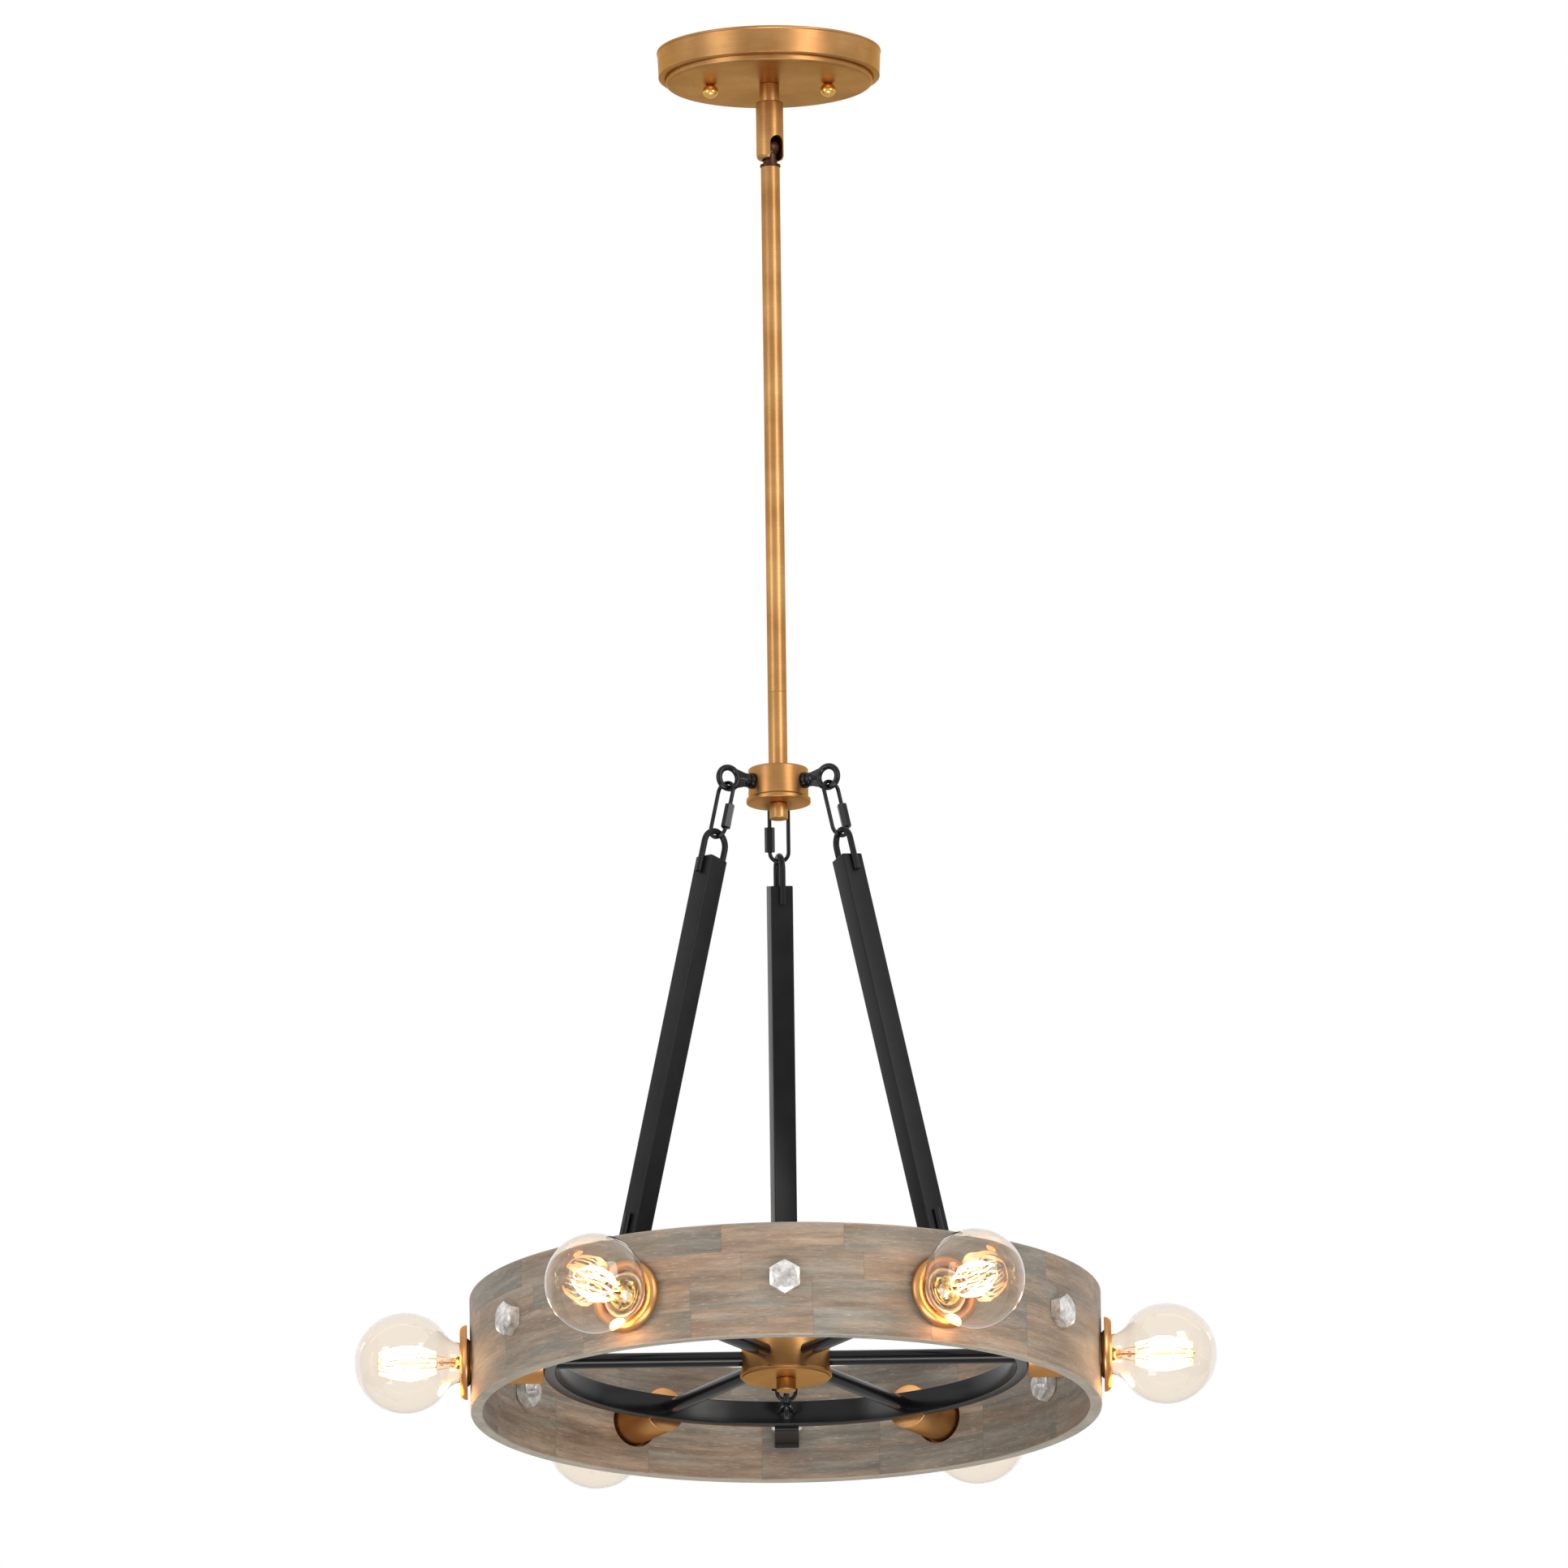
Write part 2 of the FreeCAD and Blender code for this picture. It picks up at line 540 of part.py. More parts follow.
def make_eye_bolts():
    """Three bolts with their eyes outside the hub, three with their eyes inside the ring."""
    room, ring_in = size("hub_d") / 2 - size("hub_wall"), level("ring_in")
    nut_stands = flat_seat(room, size("eye_nut_af") / 2 / math.cos(math.pi / 6))
    grip = size("hub_wall") + size("eye_nut_t") + nut_stands
    upper = eye_bolt(size("upper_reach"), grip + size("shank_out"))
    collar_stands = flat_seat(ring_in, size("eye_collar_d") / 2)
    through = level("foot_out") - ring_in + size("eye_nut_t") + collar_stands
    lower = eye_bolt(size("lower_reach") - collar_stands, through + size("shank_out"))
    for name, bolt, out, height, flip in (
            ("upper_eye_bolts", upper, level("upper_eye_at"), "eye_level", 180),
            ("lower_eye_bolts", lower, level("lower_eye_at"), "spoke_level", 0)):
        bolts = []
        for azimuth in UPRIGHTS.values():
            copy = bolt.copy()
            copy.Placement = Placement(turned_to(azimuth) * V(out, 0, 0), turned_to(azimuth + flip))
            bolts.append(copy)
        feature(name, Part.makeCompound(bolts), Placement(V(0, 0, level(height)), Rotation()))


def nut_row(name, flats, thick, bore, out, height, count, turn):
    """Hexagon nuts round a ring, their inner faces at a distance out."""
    body = new_body(name, height, turn)
    sketch = new_sketch(body, "YZ_Plane")
    bind(sketch, AttachmentOffset__Base__z=out)
    add_polygon(sketch, hexagon(flats))
    add_round_hole(sketch, "0", "0", bore)
    around(body, [extrude(body, sketch, thick)], count)


def make_eye_nuts():
    inset = "hub_d / 2 - hub_wall"
    corner = "eye_nut_af / 2 * 1.154701"
    seat = f"sqrt(({inset}) ^ 2 - ({corner}) ^ 2) - seat_play"
    bore = "eye_shank_d / 2 + thread_gap"
    nut_row("upper_eye_nuts", "eye_nut_af", "eye_nut_t", bore, f"{seat} - eye_nut_t", "eye_level", 3, "90")
    nut_row("lower_eye_nuts", "eye_nut_af", "eye_nut_t", bore, "foot_out + seat_play", "spoke_level", 3, "90")


# ------------------------------------------------------------------ hangers

def quick_link(up, turn):
    """An open oval link; its opening is low on the +Y side."""
    half_w = (size("link_w") - size("link_wire")) / 2
    straight = (size("link_l") - size("link_w")) / 2
    foot = -straight + size("link_foot")
    y, z = V(0, 1, 0), V(0, 0, 1)
    points = [V(0, half_w, foot + size("link_opening"))]
    points += bend(V(0, 0, straight), half_w, y, z, 0, 180, 6)
    points += bend(V(0, 0, -straight), half_w, y, z, 180, 360, 6)
    points += [V(0, half_w, foot)]
    link = bent_rod(points, size("link_wire"), sides=LINK_SIDES)
    link.Placement = Placement(V(0, 0, up), turned_to(turn))
    return link


def sleeve(up, turn):
    """The threaded sleeve that closes a link's opening, down at its closed end."""
    half_w = (size("link_w") - size("link_wire")) / 2
    bore = size("link_wire") / 2 / math.cos(math.pi / LINK_SIDES) + size("sleeve_gap")
    corner = size("sleeve_af") / 2 / math.cos(math.pi / 6)

    def prism(radius, count):
        angles = [2 * math.pi * (k + 0.5) / count for k in range(count)]
        ring = [V(radius * math.cos(a), radius * math.sin(a), 0) for a in angles]
        return Part.Face(Part.makePolygon(ring + ring[:1])).extrude(V(0, 0, size("sleeve_l")))

    body = prism(corner, 6).cut(prism(bore / math.cos(math.pi / FEW_SIDES), FEW_SIDES))
    body.translate(V(0, half_w, -(size("link_l") - size("link_w")) / 2))
    body.Placement = Placement(V(0, 0, up), turned_to(turn)) * body.Placement
    return body


def loop(ends_at, top_at, half_w):
    """A U-shaped loop in the XZ plane, from its legs' ends up or down to its crown."""
    way = 1 if top_at > ends_at else -1
    centre = V(0, 0, top_at - way * half_w)
    bends = bend(centre, half_w, V(1, 0, 0), V(0, 0, way), 0, 180, 6)
    points = [V(half_w, 0, ends_at)] + bends + [V(-half_w, 0, ends_at)]
    return bent_rod(points, size("loop_wire"))


def square_outline(width, corner, height):
    """A square with cut corners, as a face at a height."""
    half, cut = width / 2, width / 2 - corner
    ring = [V(half, -cut, height), V(half, cut, height), V(cut, half, height), V(-cut, half, height),
            V(-half, cut, height), V(-half, -cut, height), V(-cut, -half, height), V(cut, -half, height)]
    return Part.Face(Part.makePolygon(ring + ring[:1]))


def make_hangers():
    """Each hanger is set out along the line between its eyes, from the upper eye at the origin."""
    spread = level("lower_eye_at") - level("upper_eye_at")
    length = math.hypot(size("hang_drop"), spread)
    lean = math.degrees(math.atan2(spread, size("hang_drop")))
    eye_r = (size("eye_d") - size("eye_wire")) / 2
    contact = eye_r - (size("eye_wire") + size("link_wire")) / 2
    pitch = size("link_l") - size("link_wire")
    to_loop = pitch - (size("link_wire") + size("loop_wire")) / 2 - size("seat_gap")
    top_link = -(contact - size("seat_gap"))
    low_link = -length + contact - size("lower_seat_gap")
    top_loop, low_loop = top_link - to_loop, low_link + to_loop
    bar_top, bar_low = top_loop - size("loop_reach"), low_loop + size("loop_reach")
    half_w = (size("bar_w") + size("loop_wire")) / 2 - size("weld_sink")
    for side, azimuth in UPRIGHTS.items():
        link_turn, low_turn = size(f"{side}_link_turn"), size(f"{side}_low_turn")
        at = turned_to(azimuth) * V(level("upper_eye_at"), 0, 0) + V(0, 0, level("eye_level"))
        place = Placement(at, turned_to(azimuth) * Rotation(V(0, 1, 0), -lean))
        tube = square_outline(size("bar_w"), size("bar_corner"), bar_low).extrude(V(0, 0, bar_top - bar_low))
        inside = size("bar_w") - 2 * size("bar_wall")
        depth = bar_top - bar_low - size("bar_end_t")
        bore = Part.makeBox(inside, inside, depth, V(-inside / 2, -inside / 2, bar_low))
        upper = loop(bar_top - size("loop_grip_top"), top_loop, half_w)
        lower = loop(bar_low + size("loop_grip_low"), low_loop, half_w)
        bar = tube.cut(bore).fuse([upper, lower]).removeSplitter()
        bar.Placement = Placement(V(), turned_to(size(f"{side}_bar_turn")))
        feature(f"hanger_bar_{side}", bar, place)
        middles = {"upper": (top_link - pitch / 2, link_turn), "lower": (low_link + pitch / 2, low_turn)}
        feature(f"quick_links_{side}", Part.makeCompound([quick_link(*m) for m in middles.values()]), place)
        for end, middle in middles.items():
            feature(f"link_sleeve_{end}_{side}", sleeve(*middle), place)


# ------------------------------------------------------------------ wheel

def make_band():
    """The wooden band, drilled for six lamp sockets and, between them, six bolts."""
    low, top = "-band_l / 2", "band_l / 2"
    body = stacked("wood_band", [("band_d / 2", low, top)], [("band_in", low, top)],
                   "band_level", sides=WHEEL_SIDES)
    sockets = add_round_hole(new_sketch(body, "YZ_Plane"), "0", "-band_up", "socket_hole / 2", SMALL_SIDES)
    socket_holes = drill(body, sockets, "band_d", "One side", reverse=True)
    bolts = new_sketch(body, "YZ_Plane", Rotation(V(0, 1, 0), 30))
    add_round_hole(bolts, "0", "0", "bolt_d / 2 + slip_gap")
    bolt_holes = drill(body, bolts, "band_d", "One side", reverse=True)
    around(body, [socket_holes, bolt_holes], LAMPS)


def make_ring_and_spokes():
    low, top = "-ring_l / 2", "ring_l / 2"
    body = stacked("inner_ring", [("ring_d / 2", low, top)], [("ring_in", low, top)],
                   "spoke_level", "90", WHEEL_SIDES)
    eyes = add_round_hole(new_sketch(body, "YZ_Plane"), "0", "0", "eye_shank_d / 2 + slip_gap")
    around(body, [drill(body, eyes, "ring_d", "One side", reverse=True)], len(UPRIGHTS))
    rods = new_body("spokes", "spoke_level")
    rod = round_of(rods, "Additive", "spoke_d / 2", "spoke_in", "ring_in - slip_gap", FEW_SIDES, "YZ_Plane")
    around(rods, [rod], LAMPS)


def make_lower_hub():
    """A cup that holds the spokes' ends, its cover, finial and the bolt that ties them."""
    low, hole = "-low_hub_below", "tie_bolt_d / 2 + slip_gap"
    body = stacked("lower_hub", [("low_hub_d / 2", low, "low_hub_above")],
                   [("low_hub_d / 2 - low_hub_wall", low, "low_hub_above - low_hub_wall"),
                    (hole, low, "low_hub_above")], "spoke_level", sides=WIDE_SIDES)
    spokes = round_of(body, "Subtractive", "spoke_d / 2 + slip_gap", "0", "low_hub_d", FEW_SIDES, "YZ_Plane")
    around(body, [spokes], LAMPS)
    edge = "low_cover_edge"
    stacked("lower_hub_cover",
            [(f"low_cover_d / 2 - {edge}", "0", edge), ("low_cover_d / 2", edge, "low_cover_t")],
            [(hole, "0", "low_cover_t")], "low_cover_bottom", sides=WIDE_SIDES)
    stacked("lower_finial",
            [("low_finial_d / 2 - finial_edge", "0", "finial_edge"),
             ("low_finial_d / 2", "finial_edge", "low_finial_l")],
            [("tie_bolt_d / 2 + thread_gap", "finial_end", "low_finial_l")], "low_finial_bottom")
    bolt = node(doc.addObject("Part::Fuse", "hub_tie_bolt"), "hub_tie_bolt")
    bolt.Base = doc.addObject("Part::Prism", "tie_shank")
    bolt.Tool = doc.addObject("Part::Prism", "tie_head")
    shank_l = "low_hub_above + low_hub_below + low_cover_t + low_finial_l - finial_end - slip_gap"
    bolt.Base.Polygon = FEW_SIDES
    bind(bolt.Base, Circumradius="tie_bolt_d / 2", Height=shank_l,
         Placement__Base__z=f"low_hub_above - ({shank_l})")
    bolt.Tool.Polygon = 6
    bind(bolt.Tool, Circumradius="tie_head_af / 2 * 1.154701", Height="tie_head_t",
         Placement__Base__z="low_hub_above")
    bind(bolt, Placement__Base__z="spoke_level")


def make_brackets():
    """Bent straps from the ring's outside to the band's inside, each on an eye bolt and a hex bolt."""
    body = new_body("ring_brackets", "band_level", "90")
    foot_in, foot_out, pad_in, pad_out = "foot_in", "foot_out", "pad_in", "pad_out"
    outline = [
        (foot_in, "bracket_foot_top"), (foot_in, "-bracket_foot_low"), (pad_in, "-bracket_foot_low"),
        (pad_in, "-bracket_pad_low"), (pad_out, "-bracket_pad_low"), (pad_out, "bracket_pad_top"),
        (pad_in, "bracket_pad_top"), (pad_in, "-bracket_foot_low + bracket_t"),
        (foot_out, "-bracket_foot_low + bracket_t"), (foot_out, "bracket_foot_top")]
    strap = extrude(body, add_polygon(new_sketch(body, "XZ_Plane"), outline), "bracket_w", side="Symmetric")
    cuts = []
    for up, radius, start in (("-band_up", "eye_shank_d / 2 + slip_gap", "foot_in - 1"),
                              ("0", "bolt_d / 2 + slip_gap", "pad_in - 1")):
        sketch = add_round_hole(new_sketch(body, "YZ_Plane"), "0", up, radius)
        bind(sketch, AttachmentOffset__Base__z=start)
        cuts.append(drill(body, sketch, "bracket_t + 2", "One side", reverse=True))
    around(body, [strap] + cuts, len(UPRIGHTS))


def make_hex_bolts():
    """Six bolts through the band, their hexagon heads' corners turned down to a round crown."""
    seat, length = size("band_d") / 2 + size("seat_play"), size("bolt_head_t")
    corner, crown = size("bolt_af") * 0.6, size("bolt_af") / 2 * size("bolt_top_share")
    top = seat + length
    hexagon_head = facetted([
        (seat, 0), (seat, size("bolt_af") / 2 / math.cos(math.pi / 6)),
        (top, size("bolt_af") / 2 / math.cos(math.pi / 6)), (top, 0)], 6)
    hexagon_head.rotate(V(), V(1, 0, 0), -30)
    turned_down = facetted([
        (seat, 0), (seat, corner), (top - (corner - crown) * 0.57735, corner), (top, crown), (top, 0)], 24)
    shank = rod_x(size("bolt_d") / 2, level("bolt_end"), seat)
    bolt = hexagon_head.common(turned_down).fuse(shank).removeSplitter()
    feature("hex_bolts", copies_around(bolt, LAMPS, 30), Placement(V(0, 0, level("band_level")), Rotation()))


def make_hex_nuts():
    """Nuts on the bolts' inner ends: on the band in the front, on the brackets between."""
    body = new_body("hex_nuts", "band_level", "30")
    on_band, on_bracket = "band_in - curve_gap - nut_t", "pad_in - seat_play - nut_t"
    nuts = []
    for turn, out in ((0, on_band), (60, on_bracket)):
        sketch = new_sketch(body, "YZ_Plane", Rotation(V(0, 1, 0), turn))
        add_polygon(sketch, hexagon("bolt_af"))
        add_round_hole(sketch, "0", "0", "bolt_d / 2 + thread_gap")
        angle = math.radians(turn)
        bind(sketch, AttachmentOffset__Base__x=f"({out}) * {math.sin(angle):.6f}",
             AttachmentOffset__Base__z=f"({out}) * {math.cos(angle):.6f}")
        nuts.append(extrude(body, sketch, "nut_t"))
    around(body, nuts, len(UPRIGHTS))


def make_sockets():
    """Six cups with flared mouths round white lampholders."""
    outer, wall = size("cup_d") / 2, size("cup_wall")
    inner, back = outer - wall, size("band_d") / 2 + size("flange_gap")
    front, start = back + size("flange_t"), level("cup_in")
    place = Placement(V(0, 0, level("spoke_level")), Rotation())
    cup = facetted([
        (start, 0), (start, outer), (back, outer), (back, size("flange_d") / 2),
        (front, size("flange_front_d") / 2), (front - size("mouth_depth"), inner),
        (start + wall, inner), (start + wall, 0)], SMALL_SIDES)
    feature("socket_cups", copies_around(cup, LAMPS), place)
    barrel, end, holder_in = inner - size("holder_gap"), level("glass_in"), level("holder_in")
    bore, floor = barrel - size("holder_wall"), level("base_in") - size("base_gap")
    holder = facetted([
        (holder_in, 0), (holder_in, barrel), (end, barrel), (end, bore), (floor, bore), (floor, 0)],
        SMALL_SIDES)
    feature("lampholders", copies_around(holder, LAMPS), place)


def make_bulbs():
    """Globe bulbs, each a screw base and a glass envelope, set out along +X and turned to their places."""
    base_in, glass_in = level("base_in"), level("glass_in")
    base_r, globe_r = size("base_d") / 2, size("globe_d") / 2
    tip_r, shell_in = size("tip_d") / 2, base_in + size("tip_l")
    outline = [(base_in, 0), (base_in, tip_r), (shell_in, base_r), (glass_in, base_r), (glass_in, 0)]
    base = facetted(outline, FEW_SIDES)
    neck_at, neck_r = glass_in + size("glass_neck_l"), size("glass_neck_d") / 2
    centre = level("globe_at") - globe_r * math.cos(math.radians(size("globe_start")))
    swell = [math.radians(size("globe_start") * (1 - k / 6)) for k in range(6)]
    globe = [(centre + globe_r * math.cos(a), globe_r * math.sin(a)) for a in swell]
    globe.append((centre + globe_r, 0))
    start = glass_in + size("base_gap")
    glass = facetted([(start, 0), (start, base_r), (neck_at, neck_r)] + globe, SMALL_SIDES)
    for k in range(LAMPS):
        place = Placement(V(0, 0, level("spoke_level")), turned_to(360 * k / LAMPS))
        feature(f"bulb_base_{k + 1}", base, place)
        feature(f"bulb_glass_{k + 1}", glass, place)


def check_and_write():
    """Every object is sound before any file is written."""
    doc.recompute()
    for obj in doc.Objects:
        if "Invalid" in obj.State or "Error" in obj.State:
            raise RuntimeError(f"{obj.Label}: {obj.State}")
    for obj in NODES:
        if obj.Shape.isNull() or not obj.Shape.isValid() or not obj.Shape.Solids:
            raise RuntimeError(f"{obj.Label}: shape not sound")
    os.makedirs("parts", exist_ok=True)
    for obj in NODES:
        obj.Shape.exportStep(f"parts/{obj.Label}.step")


make_crossbar()
make_canopy()
make_studs_and_knobs()
make_nipple_and_nuts()
make_swivel()
make_stem()
make_upper_hub()
make_eye_bolts()
make_eye_nuts()
make_hangers()
make_band()
make_ring_and_spokes()
make_lower_hub()
make_brackets()
make_hex_bolts()
make_hex_nuts()
make_sockets()
make_bulbs()
check_and_write()
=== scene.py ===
"""Dresses the wagon wheel chandelier: aged brass, black iron, weathered wood and lit globe bulbs.

Blender works in metres, in the part's own frame: the vertical axis is Z, the ceiling plane is z = 0
and the picture looks along +Y from below.  Sizes of the part are in millimetres and go through MM.
Places in the studio are in metres.
"""

import math

import bmesh
import bpy
from mathutils import Matrix, Quaternion, Vector


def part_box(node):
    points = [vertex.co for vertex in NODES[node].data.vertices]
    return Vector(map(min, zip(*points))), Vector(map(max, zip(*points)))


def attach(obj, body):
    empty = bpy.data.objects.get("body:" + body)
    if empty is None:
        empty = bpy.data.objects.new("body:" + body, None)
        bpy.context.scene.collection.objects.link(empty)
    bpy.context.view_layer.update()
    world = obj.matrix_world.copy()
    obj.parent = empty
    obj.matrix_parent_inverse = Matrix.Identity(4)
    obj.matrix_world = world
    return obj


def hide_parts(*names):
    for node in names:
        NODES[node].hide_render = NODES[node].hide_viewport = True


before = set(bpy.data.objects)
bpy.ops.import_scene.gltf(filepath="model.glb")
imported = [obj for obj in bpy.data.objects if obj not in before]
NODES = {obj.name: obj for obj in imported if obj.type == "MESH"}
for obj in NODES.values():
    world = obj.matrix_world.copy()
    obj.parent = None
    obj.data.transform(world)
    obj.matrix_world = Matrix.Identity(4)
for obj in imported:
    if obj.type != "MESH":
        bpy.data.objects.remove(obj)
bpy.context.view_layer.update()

MM = 0.001
TAU = 2 * math.pi

# ------------------------------------------------------------------ sizes that the frame doesn't say
EYE_WIRE, EYE_ACROSS = 5.0, 22.0
EYE_COLLAR, EYE_BEAD, EYE_SHANK, EYE_CREST_R = 13.0, 11.2, 8.0, 9.4
UPPER_REACH, UPPER_SHANK_END = 21.75, 33.7
LOWER_REACH, LOWER_SHANK_END = 25.33, 45.5
LINK_WIRE, LINK_LONG, LINK_WIDE = 3.2, 50.0, 18.0
LINK_OPENING, LINK_FOOT = 5.0, 0.5
SLEEVE_FLATS, SLEEVE_TALL = 7.0, 20.0
BAR_WIDE, BAR_CORNER, BAR_WALL = 18.0, 1.4, 1.5
LOOP_WIRE, LOOP_REACH, LOOP_GRIP_TOP, LOOP_GRIP_LOW = 5.0, 23.5, 14.5, 33.0
SEAT_GAP, LOWER_SEAT_GAP, WELD_SINK, BOLT_ROOM = 0.3, 0.7, 0.3, 0.2
UPPER_EYE_R, LOWER_EYE_R = 45.5, 157.0
TURNS = {"back": (0, 12, 6), "left": (22, 14, 7), "right": (-21, -30, -15)}
UPRIGHTS = {"back": 90, "left": 210, "right": 330}
SLOT_AZIMUTH, SLOT_TOP, NECK_R = 305, 18.7, 5.7
ROD_BORE_R, TIE_BORE_R, FINIAL_DEPTH = 5.2, 3.2, 3.6
KNOB_R, KNOB_RISE, KNOB_DROP, KNOB_TIP, KNOB_NECK_R = 6.2, 5.6, 5.1, 10.7, 3.0
CANOPY_HOLE_R, COLLAR_BORE_R = 5.2, 5.0
BAND_WALL, RING_WALL, SOCKET_HOLE_R, BOLT_R, BOLT_END = 9.5, 9.5, 19.75, 5.0, 226.0
HEX_FLATS, HEX_TALL, EYE_NUT_FLATS, EYE_NUT_TALL = 24.0, 9.5, 13.0, 6.5
HEAD_CROWN, NUT_CROWN, HEX_NUT_GAPS, EYE_NUT_GAP = 0.83, 0.92, (0.4, 3.45), 3.1
SPOKE_R, SPOKE_START, STRAP_WIDE, STRAP_THICK, TOUCH_GAP = 6.0, 28.0, 19.0, 3.0, 0.05
STAVE_LONG, STAVE_ROWS = 98.0, 4
FLANGE_BACK, FLANGE_R, FLANGE_MIDDLE, FLANGE_TALL = 252.2, 29.8, 24.6, 5.8
GLASS_IN, BULB_GLASS_WALL, GLOBE_R, GLOBE_OUT = 251.7, 0.7, 40.0, 301.38
CAGE_NEAR, CAGE_FAR, CAGE_BARS, CAGE_WAIST, CAGE_SWELL = 277.0, 322.0, 16, 8.4, 4.6


def low(node):
    """A node's lowest corner, in millimetres."""
    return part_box(node)[0] / MM


def high(node):
    """A node's highest corner, in millimetres."""
    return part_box(node)[1] / MM


EYE_LEVEL = (low("upper_eye_bolts").z + high("upper_eye_bolts").z) / 2
SPOKE_LEVEL = (low("spokes").z + high("spokes").z) / 2
BAND_LEVEL = (low("wood_band").z + high("wood_band").z) / 2
BAND_R, BAND_HALF = high("wood_band").x, (high("wood_band").z - low("wood_band").z) / 2
RING_R, RING_HALF = high("inner_ring").x, (high("inner_ring").z - low("inner_ring").z) / 2

# ------------------------------------------------------------------ shader maths


class Field:
    """A node's output that can be used in arithmetic with numbers and other outputs."""

    def __init__(self, shader, socket):
        self.shader, self.socket = shader, socket

    def maths(self, operation, *others):
        return self.shader.node("Math", {"operation": operation}, dict(enumerate((self, *others))))

    def __add__(self, other):
        return self.maths("ADD", other)

    def __sub__(self, other):
        return self.maths("SUBTRACT", other)

    def __mul__(self, other):
        return self.maths("MULTIPLY", other)

    def __truediv__(self, other):
        return self.maths("DIVIDE", other)

    def __pow__(self, other):
        return self.maths("POWER", other)

    def out(self, name):
        """Another output of the same node."""
        return Field(self.shader, self.socket.node.outputs[name])


class Shader:
    """A material or world whose nodes are made by one method."""

    def __init__(self, owner, target="ShaderNodeOutputMaterial"):
        owner.use_nodes = True
        self.tree, self.owner = owner.node_tree, owner
        self.tree.nodes.clear()
        self.end = self.tree.nodes.new(target)

    def node(self, kind, settings=None, inputs=None, output=0):
        """A node of a kind, its settings first, then the values or links of its sockets."""
        made = self.tree.nodes.new("ShaderNode" + kind)
        for name, value in (settings or {}).items():
            if name == "stops":
                self.stops(made.color_ramp, value)
            else:
                setattr(made, name, value)
        for key, value in (inputs or {}).items():
            sockets = [s for s in made.inputs if s.enabled]
            socket = made.inputs[key] if isinstance(key, int) else next(s for s in sockets if s.name == key)
            if isinstance(value, Field):
                self.tree.links.new(value.socket, socket)
            else:
                socket.default_value = value
        outputs = [s for s in made.outputs if s.enabled]
        if isinstance(output, int):
            return Field(self, outputs[output])
        return Field(self, next(s for s in outputs if s.name == output))

    @staticmethod
    def stops(ramp, stops):
        while len(ramp.elements) < len(stops):
            ramp.elements.new(0.5)
        for element, (position, colour) in zip(ramp.elements, stops):
            element.position = position
            element.color = (*colour, 1)

    def ramp(self, factor, *stops):
        return self.node("ValToRGB", {"stops": stops}, {"Fac": factor})

    def grey_ramp(self, factor, *stops):
        """A ramp whose stops are positions and grey levels."""
        return self.ramp(factor, *((at, (value,) * 3) for at, value in stops))

    def mix(self, factor, one, two, blend="MIX"):
        return self.node("Mix", {"data_type": "RGBA", "blend_type": blend},
                         {"Factor": factor, "A": one, "B": two})

    def place(self):
        """A point in the object's own coordinates, in metres."""
        return self.node("TexCoord", None, None, "Object")

    def split(self):
        """The three coordinates of a point."""
        x = self.node("SeparateXYZ", None, {"Vector": self.place()}, "X")
        return x, x.out("Y"), x.out("Z")

    def grain_place(self, scale):
        """Coordinates laid round and along a turned piece, in metres."""
        point = self.node("UVMap", {"uv_map": "grain"})
        return self.node("Mapping", None, {"Vector": point, "Scale": scale})

    def join(self, x, y, z):
        return self.node("CombineXYZ", None, {"X": x, "Y": y, "Z": z})

    def noise(self, vector, scale, detail=4.0, roughness=0.5, output=0):
        return self.node("TexNoise", None, {"Vector": vector, "Scale": scale, "Detail": detail,
                                            "Roughness": roughness}, output)

    def bump(self, height, strength, distance):
        return self.node("Bump", None, {"Height": height, "Strength": strength, "Distance": distance})

    def surface(self, **sockets):
        """Ends the material with one shader; a socket's name has underscores for its spaces."""
        names = {key.replace("_", " "): value for key, value in sockets.items()}
        shader = self.node("BsdfPrincipled", None, names)
        self.tree.links.new(shader.socket, self.end.inputs["Surface"])
        return self.owner


def colour(*rgb):
    return (*rgb, 1.0)


def new_shader(name):
    return Shader(bpy.data.materials.new(name))


# ------------------------------------------------------------------ finishes

def aged_brass(name, light, dark, rough, streak=(30, 2500, 1), grazing=(1.0, 0.74, 0.46)):
    """Brass brushed round the piece, darker where the lacquer has aged, warm where seen edge-on."""
    shader = new_shader(name)
    lines = shader.noise(shader.grain_place(streak), 1.0, 6.0, 0.65)
    clouds = shader.noise(shader.place(), 20.0, 3.0, 0.55)
    tone = shader.mix(shader.grey_ramp(clouds, (0.32, 0.0), (0.68, 1.0)), colour(*dark), colour(*light))
    deep = colour(*[0.6 * c for c in dark])
    tone = shader.mix(shader.grey_ramp(lines, (0.40, 0.0), (0.72, 0.42)), tone, deep)
    gloss = lines * 0.16 + clouds * 0.05 + (rough - 0.11)
    return shader.surface(Base_Color=tone, Metallic=1.0, Roughness=gloss,
                          Normal=shader.bump(lines, 0.08, 0.0005), Specular_Tint=colour(*grazing))


def black_paint(name, base, rough, specular=0.35, bump=0.05, scale=900.0):
    """Black paint over iron, with a fine orange-peel texture and dusty lighter patches."""
    shader = new_shader(name)
    peel = shader.noise(shader.place(), scale, 2.0, 0.5)
    dust = shader.noise(shader.place(), 38.0, 5.0, 0.6)
    dusty = colour(*[c * 1.7 for c in base])
    tone = shader.mix(shader.grey_ramp(dust, (0.42, 0.0), (0.75, 1.0)), colour(*base), dusty)
    return shader.surface(Base_Color=tone, Roughness=dust * 0.14 + (rough - 0.07), Metallic=0.0,
                          Normal=shader.bump(peel, bump, 0.0004), Specular_IOR_Level=specular)


